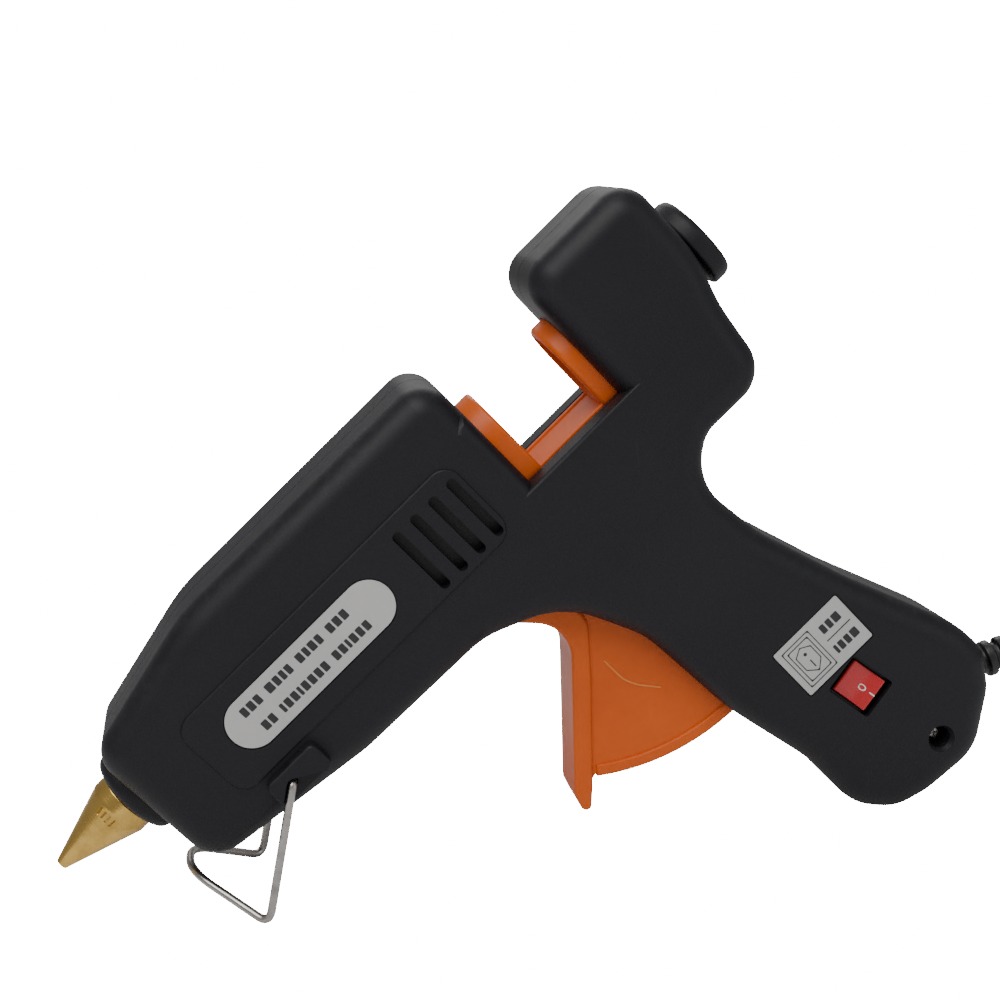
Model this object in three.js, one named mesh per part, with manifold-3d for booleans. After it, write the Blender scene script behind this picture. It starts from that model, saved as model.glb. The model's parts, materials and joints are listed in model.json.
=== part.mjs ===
// Hot-melt glue gun: 11 mm stick, trigger feed, wire stand, rocker switch and a mains cord in a hank.
// Lengths are millimetres and angles are degrees.
// Gun frame: X runs from the nozzle to the stick inlet, Z is up, Y = 0 is the seam of the housing,
// and X = Z = 0 lies on the stick's axis, a little in front of the loading window.
// The row frame has the gun standing on its wire stand and the butt of its grip, with the nozzle at -X.
import * as THREE from 'three';
import { mergeVertices } from 'three/addons/utils/BufferGeometryUtils.js';
import Module from 'manifold-3d';

const wasm = await Module();
wasm.setup();

// ---- driving dimensions -------------------------------------------------------------------
const gap = 0.3; // between pieces that touch
const runGap = 0.4; // between a moving piece and what it passes

const bodyHalf = 18.5; // half the width of the barrel
const gripHalf = 16; // half the width of the grip
const gripShoulderZ = -38; // the body starts to narrow here
const gripNarrowZ = -66; // and has the grip's width from here down
const wall = 2.6;
const edgeRound = 4;
const seamGap = 0.3;

const barrelFrontX = -103;
const barrelTopZ = 24;
const windowFrontX = 8;
const windowRearX = 36;
const windowFloorZ = -12.8;
const blockRearX = 69.6;
const barrelFloorZ = -28.6;

const noseRing = { radius: 11, length: 4.4, spigot: 10, spigotLength: 6, bore: 6.9 };
const nozzle = { tipX: -130, tipR: 1.35, coneX: -112.8, coneR: 6.9, baseR: 7.4, neckR: 5.6, orifice: 0.9 };
const chamber = { front: -101, rear: -38, radius: 9.5, bore: 5.9, blindX: -92 };
const sleeve = { front: -37.6, rear: -9.4, radius: 8.2, bore: 5.8 };

const ringR = 11.2; // outside of the carriage's ring and cup
const ringBore = 9.2;
const ringFront = -7.6;
const ringRear = 12.3;
const cupFront = 31.8;
const cupRear = 54;
const stripTop = -10.6;
const stripBottom = -12.3;
const stripHalf = 11;

const trigger = {
  pivotX: 6, pivotZ: -30, radius: 56.8, swing: 30, arm: 14.8, armHead: 2.5,
  half: 6.8, stripHalf: 7.8, plate: 2, pinR: 2, hubR: 5,
};
const stand = {
  wireR: 1, pivotX: -76, pivotZ: -19.2, legY: bodyHalf + 1.8, footX: -103, footZ: -38.9,
  bowX: -109.4, bowZ: -20.6, bowHalf: 7.5, inset: bodyHalf - 4.6,
};
const standFold = 112;

const rocker = { x: 29.4, z: -101.4, lean: 10, width: 8.6, length: 9.4, openWidth: 10.2, openLength: 11.6 };
const butt = { screwX: 34.6, screwZ: -125.5 };
const relief = { x: 53.5, z: -125.5, dip: 27.5, length: 34, radius: 4.6, tipR: 3.5 };
const cordR = 3;
const spring = { frontX: 40.4, rearX: 64.4 - wall, z: -20.4, radius: 2.4, wireR: 0.4, turns: 8 };
// the hank lies on the table behind the butt, in the row frame
const hank = {
  x: 261.6, run: 64, waist: 4, outer: 24.2, bottom: 1.1, top: 19.4, tieHalf: 5, tieThick: 0.8,
};
const plug = {
  y: -3, z: 26.7, backX: 270, length: 36, half: 17.4, thick: 14, pinR: 2, pinLength: 19, pinApart: 18.6,
};
const screw = { shankR: 1.4, headR: 2.3, post: 3.6 };

const collar = { radius: 11, thick: 4.8, spigot: 9, spigotLength: 7.4, bore: 6.4, mouth: 9 };

const panel = { x0: -85.7, x1: -1.9, z0: -14.2, z1: 7.9, round: 4, proud: 0.6 };
const vents = { firstX: -21, pitch: 5.5, count: 4, z0: -12.7, z1: 4.5, width: 2.4 };
const ovalLabel = { x: -54.3, z: -3.1, length: 47.9, height: 12.2, thick: 0.4 };
const rateLabel = { x: 29.6, z: -87, length: 20.2, height: 13.8, thick: 0.4 };

// ---- small helpers ------------------------------------------------------------------------
const rad = THREE.MathUtils.degToRad;

function outward(geometry) {
  const bare = geometry.clone();
  bare.deleteAttribute('normal');
  bare.deleteAttribute('uv');
  const merged = mergeVertices(bare, 1e-4);
  const position = merged.attributes.position;
  const index = merged.index.array;
  const kept = [];
  let volume = 0;
  const [a, b, c] = [new THREE.Vector3(), new THREE.Vector3(), new THREE.Vector3()];
  for (let i = 0; i < index.length; i += 3) {
    const [p, q, r] = index.slice(i, i + 3);
    if (p === q || q === r || r === p) continue;
    kept.push(p, q, r);
    a.fromBufferAttribute(position, p);
    b.fromBufferAttribute(position, q);
    c.fromBufferAttribute(position, r);
    volume += a.dot(b.cross(c));
  }
  if (volume < 0) kept.reverse();
  merged.setIndex(kept);
  return merged;
}

function solid(geometry) {
  const closed = outward(geometry);
  return new wasm.Manifold(new wasm.Mesh({
    numProp: 3,
    vertProperties: new Float32Array(closed.attributes.position.array),
    triVerts: new Uint32Array(closed.index.array),
  }));
}

function geometryOf(body) {
  const mesh = body.getMesh();
  const geometry = new THREE.BufferGeometry();
  geometry.setAttribute('position', new THREE.BufferAttribute(mesh.vertProperties, 3));
  geometry.setIndex(new THREE.BufferAttribute(mesh.triVerts, 1));
  geometry.computeVertexNormals();
  return geometry;
}

const joined = (...bodies) => bodies.reduce((whole, body) => whole.add(body));
const cut = (body, ...tools) => tools.reduce((rest, tool) => rest.subtract(tool), body);

// A closed outline from corners [x, y, radius], with each corner rounded by an arc.
function rounded(corners) {
  const outline = new THREE.Shape();
  const count = corners.length;
  corners.forEach(([x, y, radius = 0], i) => {
    const here = new THREE.Vector2(x, y);
    const back = new THREE.Vector2(...corners[(i + count - 1) % count]).sub(here).normalize();
    const ahead = new THREE.Vector2(...corners[(i + 1) % count]).sub(here).normalize();
    const half = Math.acos(THREE.MathUtils.clamp(back.dot(ahead), -1, 1)) / 2;
    if (radius < 0.05 || half > 1.55) {
      if (i === 0) outline.moveTo(x, y);
      else outline.lineTo(x, y);
      return;
    }
    const centre = back.clone().add(ahead).normalize().multiplyScalar(radius / Math.sin(half)).add(here);
    const run = radius / Math.tan(half);
    const start = back.multiplyScalar(run).add(here).sub(centre);
    const end = ahead.clone().multiplyScalar(run).add(here).sub(centre);
    outline.absarc(centre.x, centre.y, radius, start.angle(), end.angle(), start.cross(end) < 0);
  });
  outline.closePath();
  return outline;
}

// Moves every edge of an anticlockwise outline inwards.
function inset(corners, distance) {
  const count = corners.length;
  const edge = (i) => {
    const [x0, y0] = corners[i % count];
    const [x1, y1] = corners[(i + 1) % count];
    const length = Math.hypot(x1 - x0, y1 - y0);
    const [nx, ny] = [-(y1 - y0) / length, (x1 - x0) / length];
    return { nx, ny, level: nx * x0 + ny * y0 + distance, dx: x1 - x0, dy: y1 - y0 };
  };
  return corners.map(([, , radius = 0], i) => {
    const before = edge(i + count - 1);
    const after = edge(i);
    const across = before.nx * after.ny - before.ny * after.nx;
    const x = (before.level * after.ny - after.level * before.ny) / across;
    const y = (after.level * before.nx - before.level * after.nx) / across;
    const convex = before.dx * after.dy - before.dy * after.dx > 0;
    return [x, y, convex ? Math.max(radius - distance, 0.6) : radius + distance];
  });
}

function rectangle(x0, y0, x1, y1, radius = 0) {
  return [[x0, y0, radius], [x1, y0, radius], [x1, y1, radius], [x0, y1, radius]];
}

// A side outline in X and Z, as thick as from y0 to y1, with its two rims rounded.
function plate(outline, y0, y1, round = 0, segments = 2) {
  const geometry = new THREE.ExtrudeGeometry(outline, {
    depth: y1 - y0 - 2 * round, curveSegments: 2,
    bevelEnabled: round > 0, bevelSize: round, bevelThickness: round, bevelOffset: -round,
    bevelSegments: segments,
  });
  geometry.rotateX(Math.PI / 2);
  geometry.translate(0, y1 - round, 0);
  return solid(geometry);
}

// A cross section in Y and Z, carried along X.
function bar(outline, x0, x1) {
  const geometry = new THREE.ExtrudeGeometry(outline, {
    depth: x1 - x0, curveSegments: 6, bevelEnabled: false,
  });
  const turn = new THREE.Matrix4().makeBasis(
    new THREE.Vector3(0, 1, 0), new THREE.Vector3(0, 0, 1), new THREE.Vector3(1, 0, 0),
  );
  geometry.applyMatrix4(turn.setPosition(x0, 0, 0));
  return solid(geometry);
}

// A profile of [radius, x] pairs turned round the stick's axis.
function turned(profile, sides = 32) {
  const points = profile.map(([radius, x]) => new THREE.Vector2(radius, x));
  const geometry = new THREE.LatheGeometry(points, sides);
  geometry.rotateZ(-Math.PI / 2);
  return geometry;
}

function tubeProfile(x0, x1, bore, radius) {
  return [[bore, x0], [radius, x0], [radius, x1], [bore, x1], [bore, x0]];
}

function rod(x, z, radius, y0, y1, sides = 14) {
  const geometry = new THREE.CylinderGeometry(radius, radius, y1 - y0, sides);
  geometry.translate(x, (y0 + y1) / 2, z);
  return solid(geometry);
}

function box(x0, x1, y0, y1, z0, z1) {
  const geometry = new THREE.BoxGeometry(x1 - x0, y1 - y0, z1 - z0);
  geometry.translate((x0 + x1) / 2, (y0 + y1) / 2, (z0 + z1) / 2);
  return solid(geometry);
}

function circle(radius, sides) {
  const points = [];
  for (let i = 0; i < sides; i += 1) {
    const angle = (2 * Math.PI * i) / sides;
    points.push(new THREE.Vector2(radius * Math.cos(angle), radius * Math.sin(angle)));
  }
  return new THREE.Shape(points);
}

// A round wire through corners [x, y, z, bend], each bend rounded over its own length.
function wire(corners, radius, bend, steps, sides = 8) {
  const at = corners.map(([x, y, z]) => new THREE.Vector3(x, y, z));
  const path = new THREE.CurvePath();
  let from = at[0];
  for (let i = 1; i < at.length - 1; i += 1) {
    const wanted = corners[i][3] ?? bend;
    const reach = Math.min(wanted, at[i].distanceTo(from) * 0.9, at[i].distanceTo(at[i + 1]) * 0.45);
    const enter = at[i].clone().add(from.clone().sub(at[i]).setLength(reach));
    const leave = at[i].clone().add(at[i + 1].clone().sub(at[i]).setLength(reach));
    path.add(new THREE.LineCurve3(from, enter));
    path.add(new THREE.QuadraticBezierCurve3(enter, at[i], leave));
    from = leave;
  }
  path.add(new THREE.LineCurve3(from, at[at.length - 1]));
  return swept(path, radius, steps, sides);
}

function swept(path, radius, steps, sides = 8) {
  const geometry = new THREE.ExtrudeGeometry(circle(radius, sides), {
    steps, extrudePath: path, bevelEnabled: false,
  });
  return outward(geometry);
}

// ---- collecting the pieces ----------------------------------------------------------------
const gun = new THREE.Group(); // the gun's own frame
const freeCord = new THREE.Group(); // pieces placed in the row frame

const finishes = {
  housing: { color: 0x1f1f24, roughness: 0.62, metalness: 0 },
  blackPlastic: { color: 0x17171a, roughness: 0.5, metalness: 0 },
  orange: { color: 0xc25a22, roughness: 0.42, metalness: 0 },
  brass: { color: 0xb08a3c, roughness: 0.3, metalness: 1 },
  aluminium: { color: 0xb4b6b8, roughness: 0.45, metalness: 1 },
  steel: { color: 0x9d9a94, roughness: 0.35, metalness: 1 },
  silicone: { color: 0xb9402c, roughness: 0.6, metalness: 0 },
  ceramic: { color: 0xe6e2d8, roughness: 0.7, metalness: 0 },
  mica: { color: 0xb8a98a, roughness: 0.8, metalness: 0 },
  red: { color: 0xb72a30, roughness: 0.35, metalness: 0 },
  label: { color: 0xb9b7b5, roughness: 0.4, metalness: 0.6 },
  rubber: { color: 0x141416, roughness: 0.45, metalness: 0 },
  wireBlue: { color: 0x2c4f8e, roughness: 0.5, metalness: 0 },
  wireBrown: { color: 0x6b3f22, roughness: 0.5, metalness: 0 },
};

function piece(name, shape, finish, group = gun) {
  const geometry = shape.isBufferGeometry ? outward(shape) : geometryOf(shape);
  geometry.computeVertexNormals();
  const mesh = new THREE.Mesh(geometry, new THREE.MeshStandardMaterial(finishes[finish]));
  mesh.name = name;
  group.add(mesh);
  return mesh;
}

// ---- housing ------------------------------------------------------------------------------
const sideOutline = [
  [barrelFrontX, -21.8, 8],
  [-60, -27.8, 30],
  [-24, barrelFloorZ, 20],
  [-6.4, -36.2, 22],
  [2, -56, 24],
  [3.8, -84, 60],
  [8.8, -107, 20],
  [8.8, -124, 10],
  [15.4, -132.4, 7],
  [24, -135, 10],
  [39, -136.3, 8],
  [51.6, -126.6, 7],
  [56.8, -118.8, 7],
  [56.6, -110, 30],
  [44.8, -80.4, 40],
  [37.2, -57, 26],
  [34.8, -38, 13],
  [44, -31.2, 8],
  [63.4, -31.4, 9],
  [65.8, -12, 34],
  [blockRearX, 0, 40],
  [blockRearX, barrelTopZ, 6.4],
  [windowRearX, barrelTopZ, 6.2],
  [windowRearX, windowFloorZ, 1.2],
  [windowFrontX, windowFloorZ, 1.2],
  [windowFrontX, barrelTopZ, 4.8],
  [-67, barrelTopZ, 40],
  [barrelFrontX, 15.4, 4.6],
];

// The grip is narrower than the barrel: three level bands, and the middle one tapers.
function narrowGrip(body) {
  const far = 400;
  const share = gripHalf / bodyHalf;
  const taper = (z) => THREE.MathUtils.mapLinear(
    THREE.MathUtils.clamp(z, gripNarrowZ, gripShoulderZ), gripNarrowZ, gripShoulderZ, share, 1,
  );
  const band = (z0, z1) => {
    const mesh = body.intersect(box(-far, far, -far, far, z0, z1)).getMesh();
    const at = mesh.vertProperties;
    for (let i = 0; i < at.length; i += 3) at[i + 1] *= taper(at[i + 2]);
    return new wasm.Manifold(mesh);
  };
  return joined(band(gripShoulderZ, far), band(gripNarrowZ, gripShoulderZ), band(-far, gripNarrowZ));
}

// The carriage's cross section: a round top on straight sides that meet the strip.
function saddleSection(grow) {
  const side = ringR + grow;
  const shape = new THREE.Shape();
  shape.moveTo(side, 0);
  shape.absarc(0, 0, side, 0, Math.PI, false);
  shape.lineTo(-side, stripBottom - grow + 4);
  shape.quadraticCurveTo(-side, stripBottom - grow, -side + 4, stripBottom - grow);
  shape.lineTo(side - 4, stripBottom - grow);
  shape.quadraticCurveTo(side, stripBottom - grow, side, stripBottom - grow + 4);
  shape.closePath();
  return shape;
}

const reliefDirection = new THREE.Vector3(Math.cos(rad(relief.dip)), 0, -Math.sin(rad(relief.dip)));

// A lathe profile of [radius, distance] pairs along the strain relief's line.
function alongRelief(profile, sides = 24) {
  const points = profile.map(([radius, along]) => new THREE.Vector2(radius, along));
  const geometry = new THREE.LatheGeometry(points, sides);
  const turn = new THREE.Quaternion().setFromUnitVectors(new THREE.Vector3(0, 1, 0), reliefDirection);
  geometry.applyQuaternion(turn);
  geometry.translate(relief.x, 0, relief.z);
  return geometry;
}

const legDirection = new THREE.Vector2(stand.footX - stand.pivotX, stand.footZ - stand.pivotZ).normalize();

// The leg's whole sweep beside the boss.
function legSweep(clear) {
  const turns = 6;
  const points = [];
  for (let i = 0; i <= turns; i += 1) {
    const way = legDirection.clone().rotateAround(new THREE.Vector2(), rad((standFold * i) / turns));
    points.push([stand.pivotX + 26 * way.x, stand.pivotZ + 26 * way.y]);
  }
  const lastWay = legDirection.clone().rotateAround(new THREE.Vector2(), rad(standFold));
  const lift = (way, sign) => [
    stand.pivotX - sign * clear * way.y, stand.pivotZ + sign * clear * way.x,
  ];
  const first = lift(legDirection, -1);
  const last = lift(lastWay, 1);
  points[0][0] += first[0] - stand.pivotX;
  points[0][1] += first[1] - stand.pivotZ;
  points[turns][0] += last[0] - stand.pivotX;
  points[turns][1] += last[1] - stand.pivotZ;
  return [first, ...points, last];
}

function rockerFrame(body) {
  return body.rotate([0, -rocker.lean, 0]).translate([rocker.x, 0, rocker.z]);
}

// Screw posts at [x, z], and the side that the head is on: -1 is the left half.
const screwPosts = [
  [-93, -16.5, 1],
  [-24, -23.1, 1],
  [-2, 17.2, 1],
  [57.6, 16.8, 1],
  [29, -42, 1],
  [butt.screwX, butt.screwZ, -1],
];
const headSeat = 9; // the heads bear this far from the seam

function gripWidthAt(z) {
  return z < gripNarrowZ ? gripHalf : bodyHalf;
}

const labelFace = -bodyHalf - panel.proud;

function housingHalf(side) {
  const [y0, y1] = side < 0 ? [-60, -seamGap / 2] : [seamGap / 2, 60];
  const span = (near, far) => (side < 0 ? [-far, -near] : [near, far]);
  const outside = narrowGrip(plate(rounded(sideOutline), -bodyHalf, bodyHalf, edgeRound));
  const inner = rounded(inset(sideOutline, wall));
  const inside = narrowGrip(plate(inner, wall - bodyHalf, bodyHalf - wall, 1.4, 1));
  const panelPad = plate(
    rounded(rectangle(panel.x0, panel.z0, panel.x1, panel.z1, panel.round)),
    ...span(bodyHalf - 1, bodyHalf + panel.proud),
  );
  const boss = plate(
    rounded(rectangle(stand.pivotX - 5, stand.pivotZ - 3.4, stand.pivotX + 9.6, stand.pivotZ + 3.8, 1)),
    ...span(bodyHalf - 1, stand.legY + 1.2),
  );
  let half = joined(outside, panelPad, boss);
  half = cut(half, inside);
  // spring anchor, trigger pivot boss and screw posts
  const anchorX = spring.rearX + gap;
  half = half.add(box(
    anchorX, anchorX + 2, ...span(seamGap / 2, bodyHalf - 1), spring.z - 3, spring.z + 3,
  ));
  half = half.add(rod(trigger.pivotX, trigger.pivotZ, 4.6, ...span(trigger.half + runGap, bodyHalf - 1)));
  for (const [x, z, headSide] of screwPosts) {
    const outer = gripWidthAt(z) - 1;
    half = half.add(rod(x, z, screw.post, ...span(seamGap / 2, outer), 10));
    if (headSide === side) {
      half = half.subtract(rod(x, z, screw.shankR + gap, ...span(0, outer + 4), 8));
      half = half.subtract(rod(x, z, screw.headR + gap, ...span(headSeat, outer + 4)));
    } else {
      half = half.subtract(rod(x, z, screw.shankR + gap, ...span(0, headSeat + 2.4), 8));
    }
  }
  // openings along the stick's line
  const clearSaddle = saddleSection(runGap);
  const noseBore = solid(turned([
    [0, barrelFrontX - 4], [noseRing.spigot + gap, barrelFrontX - 4],
    [noseRing.spigot + gap, barrelFrontX + 12], [0, barrelFrontX + 12],
  ], 24));
  const rearBore = solid(turned([
    [0, blockRearX - 14], [collar.spigot + gap, blockRearX - 14],
    [collar.spigot + gap, blockRearX + 4], [0, blockRearX + 4],
  ], 24));
  half = cut(
    half,
    noseBore,
    rearBore,
    bar(clearSaddle, windowFrontX - 8, windowRearX + 8),
    box(-8, 42, -7.6, 7.6, windowFloorZ - wall - 2, windowFloorZ + 1),
  );
  // trigger pin, and the mouth that the trigger swings through
  const mouthZ = trigger.pivotZ - trigger.radius - runGap;
  const mouth = rounded([
    [-20, -27.6], [-30, -60], [-26, mouthZ], [trigger.pivotX + 2.6, mouthZ],
    [10, -60], [8, -47], [0, -33], [-4, -27.6],
  ]);
  half = cut(
    half,
    rod(trigger.pivotX, trigger.pivotZ, trigger.pinR + 0.1, ...span(0, 13 + gap)),
    plate(mouth, -trigger.stripHalf - 0.6, trigger.stripHalf + 0.6),
  );
  // stand pivot, with room for its leg
  half = cut(
    half,
    rod(stand.pivotX, stand.pivotZ, stand.wireR + gap, ...span(stand.inset - 1, stand.legY + 4), 12),
    plate(rounded(legSweep(stand.wireR + gap)), ...span(bodyHalf + 0.4, stand.legY + 4)),
  );
  // vents
  for (let i = 0; i < vents.count; i += 1) {
    const x = vents.firstX + i * vents.pitch;
    const slot = rectangle(x - vents.width / 2, vents.z0, x + vents.width / 2, vents.z1, vents.width / 2.1);
    half = half.subtract(plate(rounded(slot), ...span(bodyHalf - wall - 1, bodyHalf + 4)));
  }
  // cord exit
  half = half.subtract(solid(alongRelief([
    [0, -9], [relief.radius + gap, -9], [relief.radius + gap, 12], [0, 12],
  ])));
  if (side < 0) {
    const oval = rounded(rectangle(
      ovalLabel.x - ovalLabel.length / 2 - gap, ovalLabel.z - ovalLabel.height / 2 - gap,
      ovalLabel.x + ovalLabel.length / 2 + gap, ovalLabel.z + ovalLabel.height / 2 + gap,
      ovalLabel.height / 2 + gap / 2,
    ));
    const rate = rounded(rectangle(
      rateLabel.x - rateLabel.length / 2 - gap, rateLabel.z - rateLabel.height / 2 - gap,
      rateLabel.x + rateLabel.length / 2 + gap, rateLabel.z + rateLabel.height / 2 + gap, 0.8,
    ));
    half = cut(
      half,
      plate(oval, labelFace - 3, labelFace + ovalLabel.thick + gap),
      plate(rate, -gripHalf - 3, -gripHalf + rateLabel.thick + gap),
      rockerFrame(box(
        -rocker.openWidth / 2, rocker.openWidth / 2, -gripHalf - 4, -gripHalf + wall + 1,
        -rocker.openLength / 2, rocker.openLength / 2,
      )),
    );
  }
  return half.intersect(box(-400, 400, y0, y1, -400, 400));
}

piece('housing_left', housingHalf(-1), 'housing');
piece('housing_right', housingHalf(1), 'housing');

screwPosts.forEach(([x, z, side], i) => {
  const ends = (near, far) => (side < 0 ? [-far, -near] : [near, far]);
  const shank = rod(x, z, screw.shankR, ...ends(-headSeat, headSeat + 1), 8);
  const head = rod(x, z, screw.headR, ...ends(headSeat + gap, headSeat + gap + 1.8), 16);
  piece(`housing_screw_${i + 1}`, shank.add(head), 'steel');
});

// ---- nose, nozzle and melt chamber --------------------------------------------------------
const noseFrontX = barrelFrontX - gap - noseRing.length;
piece('nose_ring', solid(turned([
  [noseRing.bore, noseFrontX], [noseRing.radius - 2.2, noseFrontX], [noseRing.radius, noseFrontX + 2.2],
  [noseRing.radius, barrelFrontX - gap], [noseRing.spigot, barrelFrontX - gap],
  [noseRing.spigot, barrelFrontX + noseRing.spigotLength - 4],
  [noseRing.bore, barrelFrontX + noseRing.spigotLength - 4],
  [noseRing.bore, noseFrontX],
], 36)), 'blackPlastic');

piece('nozzle', solid(turned([
  [nozzle.orifice, nozzle.tipX], [nozzle.tipR, nozzle.tipX], [nozzle.coneR, nozzle.coneX],
  [nozzle.baseR, nozzle.coneX + 0.6], [nozzle.baseR, noseFrontX - gap], [nozzle.neckR, noseFrontX - gap],
  [nozzle.neckR, chamber.front - gap], [nozzle.orifice + 0.8, chamber.front - gap],
  [nozzle.orifice + 0.8, nozzle.coneX], [nozzle.orifice, nozzle.tipX],
], 24)), 'brass');

const chamberBody = joined(
  solid(turned(tubeProfile(chamber.front, chamber.rear, 1, chamber.radius), 28)),
  box(chamber.front + 12, chamber.rear - 14, -7.5, 7.5, -12.5, -6),
);
piece('melt_chamber', cut(chamberBody, solid(turned([
  [0, chamber.blindX], [chamber.bore, chamber.blindX + 5],
  [chamber.bore, chamber.rear + 2], [0, chamber.rear + 2],
], 24))), 'aluminium');

for (const [i, x] of [-81, -64.6].entries()) {
  piece(`heater_plate_${i + 1}`, box(x - 7.4, x + 7.4, -6.5, 6.5, -12.5 - gap - 2.2, -12.5 - gap), 'ceramic');
}
const clampTop = -12.5 - gap - 2.2 - gap;
piece('heater_clamp', box(-86, -60, -6, 6, clampTop - 1, clampTop), 'steel');
piece('insulation_wrap', solid(turned(tubeProfile(-78, -52, 14.6, 15.3), 28)).intersect(
  box(-90, -50, -18, 18, -10, 18),
), 'mica');

for (const [name, x] of [['chamber_saddle_front', -95.6], ['chamber_saddle_rear', -45]]) {
  const half = name.endsWith('front') ? 12.6 : 15;
  piece(name, cut(
    box(x, x + 3, -14, 14, -half, half),
    solid(turned([[0, x - 3], [chamber.radius + gap, x - 3], [chamber.radius + gap, x + 6], [0, x + 6]], 28)),
  ), 'mica');
}
piece('inlet_sleeve', solid(turned([
  [sleeve.bore, sleeve.front], [sleeve.radius, sleeve.front], [sleeve.radius, sleeve.front + 8],
  [sleeve.radius - 1, sleeve.front + 9], [sleeve.radius - 1, sleeve.rear], [sleeve.bore, sleeve.rear],
  [sleeve.bore, sleeve.front],
], 28)), 'silicone');
piece('sleeve_clip', solid(turned(tubeProfile(
  sleeve.front + 3, sleeve.front + 5, sleeve.radius + gap, sleeve.radius + 1.5,
), 24)), 'steel');

// ---- feed carriage, gripper and inlet -----------------------------------------------------
const lugGap = trigger.armHead + 0.25; // half of the fork's mouth
const armLean = trigger.swing / 2;
const headX = trigger.pivotX + trigger.arm * Math.sin(rad(armLean));
const headZ = trigger.pivotZ + trigger.arm * Math.cos(rad(armLean));
const lugThick = 2;
const gripperPin = { x: 43.6, z: 7, r: 1, half: 7.4 };
const cupBack = 4;

function carriage() {
  const section = () => {
    const shape = saddleSection(0);
    shape.holes.push(new THREE.Path().absarc(0, 0, ringBore, 0, 2 * Math.PI, true));
    return shape;
  };
  const back = saddleSection(0);
  back.holes.push(new THREE.Path().absarc(0, 0, collar.bore, 0, 2 * Math.PI, true));
  let body = joined(
    bar(section(), ringFront, ringRear),
    bar(rounded(rectangle(-stripHalf, stripBottom, stripHalf, stripTop)), ringRear - 1, cupFront + 1)
      .intersect(bar(saddleSection(0), ringRear - 2, cupFront + 2)),
    bar(section(), cupFront, cupRear - cupBack),
    bar(back, cupRear - cupBack - 0.5, cupRear),
  );
  for (const x of [headX - lugGap - lugThick, headX + lugGap]) {
    body = body.add(box(x, x + lugThick, -4, 4, headZ - 3.2, stripBottom + 1));
  }
  const lugEnd = spring.frontX - gap;
  body = body.add(box(lugEnd - lugThick, lugEnd, -2.8, 2.8, spring.z - 3, stripBottom + 1));
  return body.subtract(rod(gripperPin.x, gripperPin.z, gripperPin.r + 0.12, -12, 12, 12));
}
piece('feed_carriage', carriage(), 'orange');

// The gripper is a toothed wedge on a pin in the cup, over the stick.
const gripperOutline = rounded([
  [cupFront + 4, 5.6], [cupRear - cupBack - 1.2, 5.4], [cupRear - cupBack - 1.2, 7],
  [gripperPin.x + 1.6, 8.3], [gripperPin.x - 2, 8.3], [cupFront + 4, 7.2],
]);
const halfGripper = 2.2;
piece('stick_gripper', cut(
  plate(gripperOutline, -halfGripper, halfGripper),
  rod(gripperPin.x, gripperPin.z, gripperPin.r + 0.12, -9, 9, 12),
), 'steel');
const pinShape = rod(gripperPin.x, gripperPin.z, gripperPin.r, -gripperPin.half, gripperPin.half, 12);
piece('gripper_pin', pinShape, 'steel');

const rearFaceX = blockRearX + gap;
piece('inlet_collar', solid(turned([
  [collar.bore, blockRearX - collar.spigotLength], [collar.spigot, blockRearX - collar.spigotLength],
  [collar.spigot, rearFaceX], [collar.radius, rearFaceX], [collar.radius, rearFaceX + collar.thick - 1],
  [collar.radius - 1, rearFaceX + collar.thick], [collar.mouth, rearFaceX + collar.thick],
  [collar.bore, rearFaceX + 1], [collar.bore, blockRearX - collar.spigotLength],
], 30)), 'blackPlastic');

// ---- trigger ------------------------------------------------------------------------------
const pivot = new THREE.Vector2(trigger.pivotX, trigger.pivotZ);
const fingerFace = [
  [-17.2, -33.4, 0], [-8.4, -43, 8], [-36.3, -73.8, 2], [-37.6, -78, 1.5], [-36, -79.4, 1],
];

function triggerBody() {
  const rimIn = trigger.radius - 2.6;
  const onArc = (radius, angle) => [
    pivot.x - radius * Math.sin(rad(angle)), pivot.y - radius * Math.cos(rad(angle)),
  ];
  const foreAngle = 38.6; // of the strip's back edge, forward of straight down
  const rearAngle = -2; // of the web's rear end
  const arcPoints = (radius) => {
    const points = [];
    for (let i = 0; i <= 12; i += 1) {
      points.push(onArc(radius, THREE.MathUtils.mapLinear(i, 0, 12, foreAngle, rearAngle)));
    }
    return points;
  };
  const strip = rounded([
    ...fingerFace, [-32, -75.6, 1], [-13.6, -55.6, 0], [-5.2, -45.6, 6], [-4.2, -40.4, 6], [-12.6, -33.4, 0],
  ]);
  const web = rounded([
    [-12, -34.4], [-6, -44], [-14, -55.6], ...arcPoints(trigger.radius - 1),
    [pivot.x + 3, pivot.y - 4], [pivot.x - 2, pivot.y + 2],
  ]);
  const rim = rounded([...arcPoints(trigger.radius), ...arcPoints(rimIn).reverse()]);
  const hollow = rounded([
    [-3, -44], [-9.6, -55.6], ...arcPoints(trigger.radius - trigger.plate),
    [pivot.x + 6, pivot.y - trigger.radius + 2], [pivot.x + 6, pivot.y - 8], [pivot.x - 2, pivot.y - 8],
  ]);
  const upright = box(-1.6, 1.6, -2.4, 2.4, 0, trigger.arm);
  const arm = upright.rotate([0, armLean, 0]).translate([pivot.x, 0, pivot.y]);
  const inner = trigger.half - trigger.plate;
  return cut(
    joined(
      plate(web, -trigger.half, trigger.half),
      plate(strip, -trigger.stripHalf, trigger.stripHalf, 0.6, 1),
      plate(rim, -trigger.half - 0.8, trigger.half + 0.8),
      rod(pivot.x, pivot.y, trigger.hubR, -trigger.half, trigger.half, 24),
      arm,
      rod(headX, headZ, trigger.armHead, -2.4, 2.4, 16),
    ),
    plate(hollow, -inner, inner),
    rod(pivot.x, pivot.y, trigger.pinR + 0.15, -20, 20, 20),
  );
}
piece('trigger', triggerBody(), 'orange');
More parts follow.
